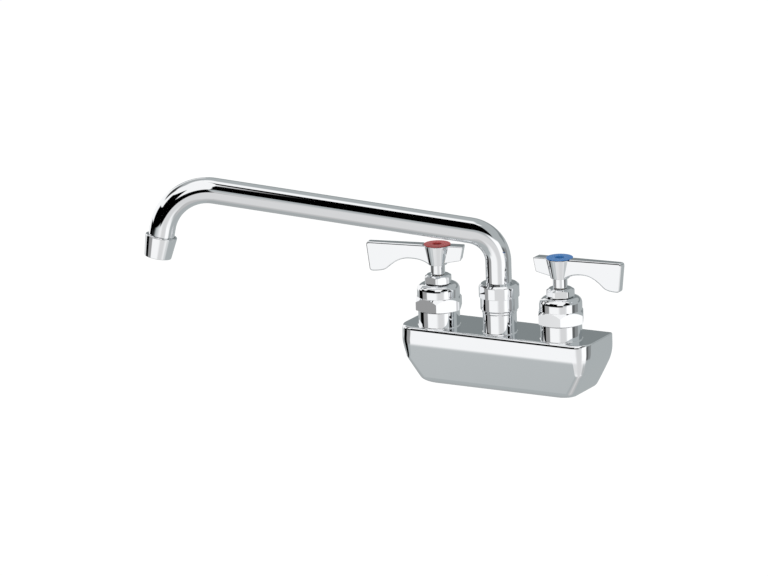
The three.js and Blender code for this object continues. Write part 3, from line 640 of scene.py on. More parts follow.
# ---------------------------------------------------------------- body casting
@dataclass(frozen=True)
class Shoulder:
    """How a side draws in below the top: upright, then an arc, then a flank."""

    drop: float
    radius: float
    top_angle: float
    bottom_angle: float

    def drawn_in(self, drop: float, height: float) -> float:
        """How far the side has drawn in at a drop.

        Args:
            drop: The drop below the top.
            height: The height of the whole side.

        Returns:
            The distance.
        """
        below = drop - self.drop
        if below <= 0:
            return 0.0
        top, bottom = math.radians(self.top_angle), math.radians(self.bottom_angle)
        arc_height = self.radius * math.sin(top)
        if below <= arc_height:
            return self.radius - math.sqrt(self.radius**2 - below**2)
        share = (below - arc_height) / (height - self.drop - arc_height)
        slope = math.tan(top) + (math.tan(bottom) - math.tan(top)) * share / 2
        return self.radius * (1 - math.cos(top)) + (below - arc_height) * slope


@dataclass
class Body:
    """The casting with its two valve posts and its spout post."""

    height: float = 43.5
    end_reach: float = 27.4
    front_reach: float = 16.7
    front_top_edge: float = 2.4
    end_top_edge: float = 0.8
    bottom_edge: float = 4.1
    end: Shoulder = Shoulder(7.4, 30.5, 26.9, 30.7)
    front: Shoulder = Shoulder(9, 22, 12.8, 12.8)
    corner: float = 13
    corner_fade: float = 26
    crease_top: float = 3
    crease_bottom: float = 7
    back_corner: float = 1.6
    post_root: float = 2.5
    foot: float = 0.8
    valve_post: float = 15.4
    valve_post_height: float = 12
    spout_post: float = 12.525
    spout_post_height: float = 15.2
    groove: float = 0.35
    groove_height: float = 0.4
    bead: float = 13.025
    bead_height: float = 2
    thread: float = 12.025
    thread_top: float = 27
    corner_steps: int = 20
    back_steps: int = 4
    side_steps: int = 40
    edge_steps: int = 8

    @staticmethod
    def _rounded(distance: float, radius: float) -> float:
        """How far a rounded edge stands back at a distance from the face that it meets."""
        gap = max(0.0, radius - distance)
        return radius - math.sqrt(radius**2 - gap**2)

    def outline(self, drop: float) -> list[Vector]:
        """The outline at a drop below the top.

        Args:
            drop: The drop.

        Returns:
            Its points.
        """
        end_rim = self._rounded(drop, self.end_top_edge)
        front_rim = self._rounded(drop, self.front_top_edge)
        foot_rim = self._rounded(self.height - drop, self.bottom_edge)
        end_in = self.end.drawn_in(drop, self.height) + end_rim + foot_rim
        front_in = self.front.drawn_in(drop, self.height) + front_rim + foot_rim
        end = VALVE_X + self.end_reach - end_in
        front = AXIS_Y - self.front_reach + front_in
        fade = math.sqrt(max(0.0, 1 - (drop / self.corner_fade) ** 2))
        crease = self.crease_top + (self.crease_bottom - self.crease_top) * drop / self.height
        corner = max(crease, self.corner * fade - (end_rim + front_rim) / 2) + foot_rim
        back = self.back_corner
        quarters = (
            (corner, -end + corner, front + corner, 180, self.corner_steps),
            (corner, end - corner, front + corner, 270, self.corner_steps),
            (back, end - back, -back, 0, self.back_steps),
            (back, -end + back, -back, 90, self.back_steps),
        )
        points = []
        for radius, x, y, start, steps in quarters:
            for i in range(steps + 1):
                angle = math.radians(start + 90 * i / steps)
                place = (x + radius * math.cos(angle), y + radius * math.sin(angle))
                points.append(Vector((*place, BODY_TOP - drop)))
        return points

    def drops(self) -> list[float]:
        """Lists where the outlines lie.

        Returns:
            Their drops, from the top down.
        """
        top, foot = self.front_top_edge, self.bottom_edge
        turns = [math.radians(90 * i / self.edge_steps) for i in range(self.edge_steps + 1)]
        side = self.height - top - foot
        found = [top * (1 - math.cos(turn)) for turn in turns]
        found += [top + side * i / self.side_steps for i in range(1, self.side_steps + 1)]
        return found + [self.height - foot * (1 - math.sin(turn)) for turn in turns[1:]]

    def _post(self, x: float, radius: float, above: Sequence[Corner]) -> Shape:
        """Turns a post that stands on the casting with a fillet at its foot.

        Args:
            x: Where it stands.
            radius: Its radius at the foot.
            above: The rest of its profile, up to the axis.

        Returns:
            The post.
        """
        foot, steps = self.foot, self.edge_steps
        turns = [math.radians(90 * i / steps) for i in range(steps + 1)]
        post = Shape().turn([
            Corner(0, -self.post_root), Corner(radius + foot, -self.post_root),
            *[Corner(radius + foot * (1 - math.sin(t)), foot * (1 - math.cos(t))) for t in turns],
            *above,
        ])
        return post.move(shifted(x, AXIS_Y, BODY_TOP))

    def build(self) -> None:
        """Builds and dresses the casting."""
        rings = [self.outline(drop) for drop in self.drops()]
        casting = Shape().drape(len(rings[0]), len(rings) - 1, lambda at, row: rings[row][at])
        radius, top = self.valve_post, self.valve_post_height
        for x in (-VALVE_X, VALVE_X):
            casting.join(self._post(x, radius, [Corner(radius, top, 0.3), Corner(0, top)]))
        radius, top = self.spout_post, self.spout_post_height
        groove, bead_top = radius - self.groove, top + self.bead_height
        width = self.groove_height
        casting.join(self._post(0, radius, [
            Corner(radius, top - width, 0.1), Corner(groove, top - width / 2, 0.1),
            Corner(groove, top, 0.05), Corner(self.bead, top, 0.5),
            Corner(self.bead, bead_top, 0.5), Corner(self.thread, bead_top, 0.1),
            Corner(self.thread, self.thread_top, 0.3), Corner(0, self.thread_top),
        ]))
        casting.finish("body_casting", CHROME, "faucet", "faucet_body")


# ---------------------------------------------------------------- valves
@dataclass
class Bonnet:
    """The dome with its hexagon, and the packing nut on its neck.

    A chamfer is given by how far in and how far up or down it goes.
    """

    side: str
    x: float
    turn: float
    nut_turn: float
    hex_bottom: float = 12.3
    hex_height: float = 10
    flats: float = 32.3
    corners: float = 37.3
    lower_chamfer: tuple[float, float] = (2.8, 0.9)
    upper_chamfer: tuple[float, float] = (2.65, 3.1)
    dome: float = 15.8
    dome_top: float = 31.8
    dome_shoulder: float = 4.4
    neck: float = 7.3
    neck_top: float = 36.2
    spigot: float = 12
    spigot_bottom: float = 4
    bore: float = 5.1
    cavity: float = 10
    cavity_top: float = 26.2
    nut_bottom: float = 32.1
    nut_height: float = 6.3
    nut_flats: float = 18.8
    nut_corners: float = 20.8
    nut_lower_chamfer: tuple[float, float] = (0.8, 0.5)
    nut_upper_chamfer: tuple[float, float] = (2.2, 1.3)
    nut_bore: float = 4.9
    nut_cavity: float = 7.65
    nut_cavity_top: float = 36.6

    def _dome(self) -> Shape:
        """Turns the bonnet and cuts its hexagon.

        Returns:
            The bonnet.
        """
        outer, bottom = self.corners / 2, self.hex_bottom
        top = bottom + self.hex_height
        (low_in, low_up), (high_in, high_down) = self.lower_chamfer, self.upper_chamfer
        return Shape().turn([
            Corner(self.bore, self.cavity_top), Corner(self.cavity, self.cavity_top),
            Corner(self.cavity, self.spigot_bottom), Corner(self.spigot, self.spigot_bottom),
            Corner(self.spigot, bottom), Corner(outer - low_in, bottom, 0.15),
            Corner(outer, bottom + low_up, 0.2), Corner(outer, top - high_down, 0.4),
            Corner(outer - high_in, top, 0.2), Corner(self.dome, top, 0.1),
            Corner(self.dome, self.dome_top, self.dome_shoulder),
            Corner(self.neck, self.dome_top, 0.2), Corner(self.neck, self.neck_top, 0.3),
            Corner(self.bore, self.neck_top),
        ], sides=144).hexagon(self.flats, self.turn)

    def _nut(self) -> Shape:
        """Turns the packing nut and cuts its hexagon.

        Returns:
            The nut.
        """
        outer, bottom = self.nut_corners / 2, self.nut_bottom
        top = bottom + self.nut_height
        (low_in, low_up), (high_in, high_down) = self.nut_lower_chamfer, self.nut_upper_chamfer
        return Shape().turn([
            Corner(self.nut_bore, self.nut_cavity_top),
            Corner(self.nut_cavity, self.nut_cavity_top),
            Corner(self.nut_cavity, bottom, 0.1), Corner(outer - low_in, bottom, 0.1),
            Corner(outer, bottom + low_up, 0.3), Corner(outer, top - high_down, 0.4),
            Corner(outer - high_in, top, 0.3), Corner(self.nut_bore, top, 0.1),
        ], sides=120).hexagon(self.nut_flats, self.nut_turn, edge=0.12)

    def build(self) -> None:
        """Builds and dresses both pieces."""
        for shape, look, node in (
            (self._dome(), "dome", "bonnet"), (self._nut(), "gland_nut", "packing_nut"),
        ):
            shape.move(shifted(self.x, AXIS_Y, BODY_TOP))
            shape.finish(f"{self.side}_{look}", CHROME, "faucet", f"{self.side}_{node}")


@dataclass
class Lever:
    """The lever handle with its index ring and its screw, along +X before it is turned."""

    side: str
    x: float
    direction: float
    index: Finish
    bottom: float = 38.7
    neck: float = 5.3
    hub_bottom: float = 46
    hub_bottom_radius: float = 7
    hub_top: float = 60.7
    hub_top_radius: float = 10.1
    recess: float = 9.5
    recess_depth: float = 1.5
    stem_hole: float = 3.7
    stem_hole_top: float = 55.2
    reach: float = 52.8
    rise: float = 2.2
    tip_height: float = 22.4
    tip_length: float = 15
    tip_lean: float = 2
    tip_corner: float = 2.6
    waist: float = 10.2
    waist_reach: float = 21.3
    root: float = 5
    root_overlap: float = 0.5
    tail: float = 20.1
    tail_drop: float = 0.4
    tail_height: float = 10.9
    tail_lean: float = 2.1
    tail_root: float = 1.6
    tail_corner: float = 1
    tail_corner_leans: tuple[float, float] = (0.2, 0.1)
    hub_thickness: float = 9
    tip_thickness: float = 6
    edge: float = 1.3
    inside: float = 6
    inside_depth: float = 1.4
    sharp_within: float = 9.1
    sharp_above: float = 48
    screw_seat: float = 57.5
    screw_bottom: float = 46.5
    screw_radius: float = 1.6
    screw_hole: float = 1.8
    head: float = 3
    head_height: float = 2.4
    head_room: float = 0.3
    socket_wall: float = 0.75
    socket_reach: float = 1.5
    socket_depth: float = 1.2
    ring_hole: float = 3.4
    ring_radius: float = 9.2
    ring_rim: float = 9.9
    ring_height: float = 2
    ring_depth: float = 1.2
    ring_clearance: float = 0.3

    def _top(self, x: float) -> float:
        """Finds the height of the straight upper edge.

        Args:
            x: A place along the lever.

        Returns:
            The height.
        """
        shoulder = self.reach - self.tip_corner
        start = self.hub_top - self.tail_drop
        end = self.hub_top + self.rise * shoulder / self.reach
        return start + (x + self.tail) * (end - start) / (shoulder + self.tail)

    def _recess_end(self) -> float:
        """Where the sides of the blade and the tail meet the recess."""
        return math.sqrt(self.recess**2 - (self.hub_thickness / 2) ** 2)

    def _blade(self) -> list[tuple[float, float]]:
        """Draws the blade's side view.

        Returns:
            Its points, from the recess outwards.
        """
        start = self._recess_end()
        tip_top = self.hub_top + self.rise
        tip_bottom = tip_top - self.tip_height
        corner, lean = self.tip_corner, self.tip_lean
        shoulder, heel, belly = self.reach - corner, self.reach - lean, self.reach - self.tip_length
        waist = self.hub_top - self.waist
        hollow = (belly - self.waist_reach) / 2
        floor = self.hub_top - self.inside_depth
        points = [(start, floor), (start, self._top(start)), (shoulder, self._top(shoulder))]
        overlap = self.root_overlap
        foot = (self.hub_bottom_radius - overlap, self.hub_bottom + overlap)
        for curve, steps in (
            ([(self.reach, tip_top), (self.reach, tip_top - corner)], 6),
            ([(heel, tip_bottom + corner)], 1),
            ([(heel, tip_bottom), (heel - corner, tip_bottom)], 6),
            ([(belly + corner, tip_bottom), (belly, tip_bottom + lean)], 8),
            ([
                (belly - corner, tip_bottom + 2 * lean),
                (self.waist_reach + hollow, waist), (self.waist_reach, waist),
            ], 14),
            ([(self.hub_bottom_radius + self.root, waist), foot], 8),
        ):
            points += bezier([points[-1], *curve], steps)
        return points + [(self.inside, foot[1]), (self.inside, floor)]

    def _tail(self) -> list[tuple[float, float]]:
        """Draws the tail's side view.

        Returns:
            Its points, from inside the hub outwards.
        """
        start = self._recess_end()
        floor = self.hub_top - self.inside_depth
        root = self.hub_bottom + self.tail_root
        top = self.hub_top - self.tail_drop
        corner, (low_lean, high_lean) = self.tail_corner, self.tail_corner_leans
        end, heel, bottom = -self.tail, self.tail_lean - self.tail, top - self.tail_height
        points = [(-self.inside, floor), (-self.inside, root), (-self.hub_bottom_radius, root)]
        for curve, steps in (
            ([(heel + corner, bottom)], 1),
            ([(heel, bottom), (heel - low_lean, bottom + corner)], 4),
            ([(end + high_lean, top - corner)], 1),
            ([(end, top), (end + corner, top)], 4),
        ):
            points += bezier([points[-1], *curve], steps)
        return points + [(-start, self._top(-start)), (-start, floor)]

    def _buried(self, middle: Vector) -> bool:
        """Whether a place on the blade or the tail lies inside the hub."""
        return abs(middle.x) < self.sharp_within and middle.z > self.sharp_above

    def _handle(self) -> Shape:
        """Builds the hub, the blade and the tail.

        Returns:
            The handle.
        """
        top, floor = self.hub_top, self.hub_top - self.recess_depth
        room = self.head + self.head_room
        seat = self.screw_seat - self.head_room
        handle = Shape().turn([
            Corner(self.stem_hole, self.bottom), Corner(self.neck, self.bottom, 0.3),
            Corner(self.neck, self.hub_bottom, 0.4),
            Corner(self.hub_bottom_radius, self.hub_bottom, 0.3),
            Corner(self.hub_top_radius, top, 0.45), Corner(self.recess, top, 0.1),
            Corner(self.recess, floor), Corner(room, floor), Corner(room, seat),
            Corner(self.screw_hole, seat), Corner(self.screw_hole, self.stem_hole_top),
            Corner(self.stem_hole, self.stem_hole_top),
        ])
        slabs = Shape().slab(self._blade(), self.hub_thickness, self.edge, self._buried)
        slabs.sink(self.ring_rim + self.ring_clearance, top)
        slabs.slab(self._tail(), self.hub_thickness, self.edge, self._buried)
        slabs.narrow(self.reach, self.tip_thickness / self.hub_thickness)
        return handle.join(slabs)

    def _ring(self) -> Shape:
        """Builds the index ring, whose rim lies over the hub's top.

        Returns:
            The ring.
        """
        low, step = self.hub_top - self.ring_depth, self.hub_top + self.ring_clearance
        high = low + self.ring_height
        return Shape().turn([
            Corner(self.ring_hole, low), Corner(self.ring_radius, low, 0.2),
            Corner(self.ring_radius, step), Corner(self.ring_rim, step, 0.1),
            Corner(self.ring_rim, high, 0.3), Corner(self.ring_hole, high, 0.4),
        ])

    def _screw(self) -> Shape:
        """Builds the socket screw.

        Returns:
            The screw.
        """
        seat, top = self.screw_seat, self.screw_seat + self.head_height
        screw = Shape().turn([
            Corner(0, self.screw_bottom), Corner(self.screw_radius, self.screw_bottom, 0.3),
            Corner(self.screw_radius, seat), Corner(self.head, seat, 0.1),
            Corner(self.head, top, 0.5), Corner(0, top),
        ], sides=48)
        return screw.socket(top, self.socket_wall, self.socket_reach, self.socket_depth)

    def build(self) -> None:
        """Builds and dresses the three pieces."""
        place = (shifted(self.x, AXIS_Y, BODY_TOP), turned_by(self.direction))
        for shape, look, name, node in (
            (self._handle(), CHROME, "lever_handle", "lever"),
            (self._ring(), self.index, "index", "index_ring"),
            (self._screw(), STEEL, "socket_screw", "lever_screw"),
        ):
            shape.move(*place)
            shape.finish(f"{self.side}_{name}", look, f"{self.side}_handle", f"{self.side}_{node}")


# ---------------------------------------------------------------- spout
class Bender:
    """Draws a tube along straight runs and bends, in the X-Z plane."""

    def __init__(self, radius: float, sides: int, bottom: float) -> None:
        """Starts with a level ring that goes up.

        Args:
            radius: The tube's radius.
            sides: The ring's points.
            bottom: The ring's height.
        """
        self.shape = Shape()
        self.place = Vector((0, 0, bottom))
        self.heading = 90.0
        bm = self.shape.bm
        bmesh.ops.create_circle(bm, segments=sides, radius=radius, cap_ends=False)
        bmesh.ops.translate(bm, verts=bm.verts, vec=self.place)
        self.rim = list(bm.edges)

    def ahead(self, length: float) -> Vector:
        """Returns a step of some length along the heading."""
        angle = math.radians(self.heading)
        return Vector((math.cos(angle), 0, math.sin(angle))) * length

    def _aside(self, length: float) -> Vector:
        """Returns a step of some length to the side that bends turn to."""
        angle = math.radians(self.heading)
        return Vector((math.sin(angle), 0, -math.cos(angle))) * length

    def run(self, length: float, steps: int) -> None:
        """Goes straight on.

        Args:
            length: How far.
            steps: In how many steps.
        """
        for _ in range(steps):
            grown = bmesh.ops.extrude_edge_only(self.shape.bm, edges=self.rim)["geom"]
            self.rim = only(grown, bmesh.types.BMEdge)
            ends = {v for e in self.rim for v in e.verts}
            bmesh.ops.translate(self.shape.bm, verts=list(ends), vec=self.ahead(length) / steps)
        self.place = self.place + self.ahead(length)

    def bend(self, radius: float, turn: float, steps: int) -> None:
        """Bends down.

        Args:
            radius: The bend's radius.
            turn: How far, in degrees.
            steps: In how many steps.
        """
        centre = self.place + self._aside(radius)
        spun = bmesh.ops.spin(
            self.shape.bm, geom=self.rim, cent=centre, axis=(0, 1, 0),
            angle=math.radians(turn), steps=steps,
        )["geom_last"]
        self.rim = only(spun, bmesh.types.BMEdge)
        self.heading -= turn
        self.place = centre - self._aside(radius)


@dataclass
class Spout:
    """The bent tube, the nut that holds it and the aerator on its end."""

    radius: float = 9.525
    wall: float = 1.2
    bottom: float = 29.6
    riser_height: float = 53.1
    riser_bend: float = 25
    rise: float = 12
    tip_bend: float = 32
    tilt: float = 11.5
    tip_straight: float = 22.9
    reach: float = 249.08
    sides: int = 72
    in_aerator: float = 9.2
    aerator_hole: float = 8
    aerator_lip: float = 0.9
    aerator_seat: float = 6.8
    aerator_bore: float = 8.9
    aerator_socket: float = 9.875
    aerator_end: float = 9.9
    aerator_top: float = 11.8
    aerator_height: float = 16.2
    nut_hole: float = 9.725
    nut_cavity: float = 12.375
    nut_cavity_top: float = 34.9
    nut_bottom: float = 17.5
    nut_step: float = 26.9
    nut_lower: float = 14.025
    nut_upper: float = 14.925
    nut_flats: float = 28.95
    nut_top: float = 36.9
    nut_chamfer: tuple[float, float] = (1.8, 1.4)
    nut_turn: float = 59.5

    def _bend_reach(self, radius: float, heading: float, turn: float) -> float:
        """Returns the level length of a bend."""
        return radius * (math.sin(math.radians(heading)) - math.sin(math.radians(heading - turn)))

    def _straight(self) -> float:
        """Works out the straight run between the bends.

        Returns:
            Its length.
        """
        level = (
            self.reach
            - self._bend_reach(self.riser_bend, 90, 90 - self.rise)
            - self._bend_reach(self.tip_bend, self.rise, 90 + self.rise - self.tilt)
            - self.tip_straight * math.sin(math.radians(self.tilt))
        )
        return level / math.cos(math.radians(self.rise))

    def _tube(self) -> Vector:
        """Builds and dresses the tube.

        Returns:
            Where the aerator's end comes, before the spout is swung.
        """
        bender = Bender(self.radius, self.sides, self.bottom)
        bender.run(self.riser_height - self.bottom, steps=8)
        bender.bend(self.riser_bend, 90 - self.rise, steps=48)
        bender.run(self._straight(), steps=40)
        bender.bend(self.tip_bend, 90 + self.rise - self.tilt, steps=56)
        bender.run(self.tip_straight - self.in_aerator, steps=5)
        shape = bender.shape
        bmesh.ops.recalc_face_normals(shape.bm, faces=shape.bm.faces)
        shape.move(shifted(0, AXIS_Y, BODY_TOP), turned_by(180 + SPOUT_SWING))
        piece = shape.finish("bent_tube", CHROME, "spout", "spout_tube")
        wall = piece.modifiers.new("wall", "SOLIDIFY")
        wall.thickness = self.wall * MM
        wall.offset = -1.0
        piece.modifiers.move(1, 0)
        return bender.place + bender.ahead(self.in_aerator)

    def _nut(self) -> None:
        """Builds and dresses the two-step nut at the foot of the tube."""
        chamfer_in, chamfer_down = self.nut_chamfer
        hole, cavity, lower = self.nut_hole, self.nut_cavity, self.nut_lower
        upper, bottom, step, top = self.nut_upper, self.nut_bottom, self.nut_step, self.nut_top
        nut = Shape().turn([
            Corner(hole, self.nut_cavity_top), Corner(cavity, self.nut_cavity_top),
            Corner(cavity, bottom, 0.2), Corner(lower, bottom, 0.5), Corner(lower, step, 0.1),
            Corner(upper, step, 0.35), Corner(upper, top - chamfer_down, 0.6),
            Corner(upper - chamfer_in, top, 0.4), Corner(hole, top, 0.3),
        ], sides=144)
        nut.hexagon(self.nut_flats, self.nut_turn, edge=0.1)
        nut.move(shifted(0, AXIS_Y, BODY_TOP))
        nut.finish("coupling_nut", CHROME, "faucet", "spout_nut")

    def _aerator(self, end: Vector) -> None:
        """Builds and dresses the aerator's housing.

        Args:
            end: Where its end comes, before the spout is swung.
        """
        high, socket, bore = self.aerator_height, self.aerator_socket, self.aerator_bore
        housing = Shape().turn([
            Corner(self.aerator_hole, 0, 0.2), Corner(self.aerator_end, 0, 0.5),
            Corner(self.aerator_top, high, 0.7), Corner(socket, high, 0.2),
            Corner(socket, self.aerator_seat), Corner(bore, self.aerator_seat),
            Corner(bore, self.aerator_lip), Corner(self.aerator_hole, self.aerator_lip, 0.1),
        ])
        housing.move(
            shifted(0, AXIS_Y, BODY_TOP), turned_by(180 + SPOUT_SWING),
            shifted(*end), turned_by(-self.tilt, "Y"),
        )
        housing.finish("aerator_shell", CHROME, "spout", "aerator_housing")

    def build(self) -> None:
        """Builds and dresses the pieces."""
        end = self._tube()
        self._nut()
        self._aerator(end)


# ---------------------------------------------------------------- inlets
@dataclass
class Inlet:
    """A threaded shank with its nut and washers, built about Z and laid along Y.

    The seal and the plate are washers, given by their two faces and the rounding of their
    edges. The flanks are shares of the pitch: where the thread's crest starts and ends, and
    where its root starts again.
    """

    side: str
    x: float
    shank: float = 10.45
    bore: float = 7
    start: float = -13.7
    length: float = 20
    thread_start: float = 1.2
    thread_end: float = 1.3
    pitch: float = 1.814
    depth: float = 0.9
    flanks: tuple[float, float, float] = (0.42, 0.55, 0.97)
    hole: float = 10.8
    washer: float = 14.5
    seal: tuple[float, float, float] = (2.3, 3.8, 0.4)
    plate: tuple[float, float, float] = (4.1, 5.1, 0.2)
    nut_low: float = 5.4
    nut_high: float = 9.9
    nut_corner: float = 14.5
    nut_chamfer: tuple[float, float] = (1.1, 0.6)
    nut_flats: float = 26.4

    def _shank(self) -> Shape:
        """Builds the shank: a plain end in the body, then a thread to the far end.

        Returns:
            The shank.
        """
        top, root = self.shank, self.shank - self.depth
        rise, crest, fall = (self.pitch * share for share in self.flanks)
        corners = [Corner(self.bore, self.start), Corner(top, self.start, 0.3)]
        corners += [Corner(top, 0.0), Corner(root, 0.5)]
        for i in range(int((self.length - self.thread_start - self.thread_end) / self.pitch)):
            foot = self.thread_start + self.pitch * i
            corners += [Corner(root, foot), Corner(top, foot + rise)]
            corners += [Corner(top, foot + crest), Corner(root, foot + fall)]
        corners += [Corner(root, self.length, 0.4), Corner(self.bore, self.length, 0.4)]
        return Shape().turn(corners, sides=72)

    def _washer(self, low: float, high: float, edge: float) -> Shape:
        """Builds a washer.

        Args:
            low: Its near face.
            high: Its far face.
            edge: The rounding of its edges.

        Returns:
            The washer.
        """
        return Shape().turn([
            Corner(self.hole, low, edge / 2), Corner(self.washer, low, edge),
            Corner(self.washer, high, edge), Corner(self.hole, high, edge / 2),
        ])

    def _nut(self) -> Shape:
        """Builds the nut.

        Returns:
            The nut.
        """
        outer, low, high = self.nut_corner, self.nut_low, self.nut_high
        across, along = self.nut_chamfer
        return Shape().turn([
            Corner(self.hole, low, 0.2), Corner(outer - across, low, 0.1),
            Corner(outer, low + along, 0.3), Corner(outer, high - along, 0.3),
            Corner(outer - across, high, 0.1), Corner(self.hole, high, 0.2),
        ], sides=120).hexagon(self.nut_flats, 30)

    def build(self) -> None:
        """Builds and dresses the pieces of one inlet."""
        place = (shifted(self.x, 0, 0), turned_by(-90, "X"))
        for shape, look, name, node in (
            (self._shank(), BRASS, "threaded_shank", "inlet_shank"),
            (self._washer(*self.seal), RUBBER, "shank_seal_washer_look", "shank_seal_washer"),
            (self._washer(*self.plate), STEEL, "shank_plate_washer_look", "shank_plate_washer"),
            (self._nut(), BRASS, "lock_nut", "shank_nut"),
        ):
            shape.move(*place)
            shape.finish(f"{self.side}_{name}", look, "faucet", f"{self.side}_{node}")


# ---------------------------------------------------------------- studio
@dataclass(frozen=True)
class Panel:
    """A soft-edged part of the studio that polished metal reflects.

    Angles are in degrees: the azimuth is from the viewer's side to the right, and the elevation
    from level. The top edge may slope, and the sides may lean to the right as they rise.
    """

    level: float
    left: float
    right: float
    bottom: float
    top: float
    soft: float = 6.0
    slope: float = 0.0
    lean: float = 0.0
    tint: tuple[float, float, float] = (1.0, 1.0, 1.0)


COOL = (0.95, 1.0, 1.01)
COLD = (0.9, 1.0, 1.02)

# What polished metal reflects, from the panels behind to the ones in front.
PANELS = (
    Panel(0.42, -181, -100, -92, -10, 10, tint=COOL),
    Panel(0.52, -36, 72, -92, -40, 14),
    Panel(0.76, -46, 42, -42, -7, 6),
    Panel(0.98, -70, 62, -34, -7, 13),
    Panel(1.00, -181, -106, -12, 34, 8),
    Panel(0.43, -181, -96, 34, 68, 8, tint=COOL),
    Panel(1.00, -181, 181, 66, 92, 8),
    Panel(0.98, -112, 46, 20, 92, 6),
    Panel(1.00, 34, 84, 55, 92, 6),
    Panel(0.71, -10, 28, -70, 3, 18),
    Panel(1.08, 30, 60, -22, 14, 6),
    Panel(0.27, 62, 102, -22, 6, 6, tint=COOL),
    Panel(0.13, 62, 78, -22, 6, 6, tint=COOL),
    Panel(0.00, 4, 42, 18, 28, 2, slope=0.8, lean=0.35),
    Panel(0.05, -140, -102, 33, 52, 5),
    Panel(0.33, -98, -67, -30, -5, 8),
    Panel(0.00, -126, -95, -36, 2, 4),
    Panel(0.00, -104, -22, -3, 25, 2),
    Panel(0.00, -72, -22, 20, 46, 2),
    Panel(0.00, -28, 9.5, -6, 20, 2),
    Panel(0.25, 112, 181, 9, 22, 4, tint=COLD),
    Panel(0.25, -181, -158, 9, 22, 4, tint=COLD),
)


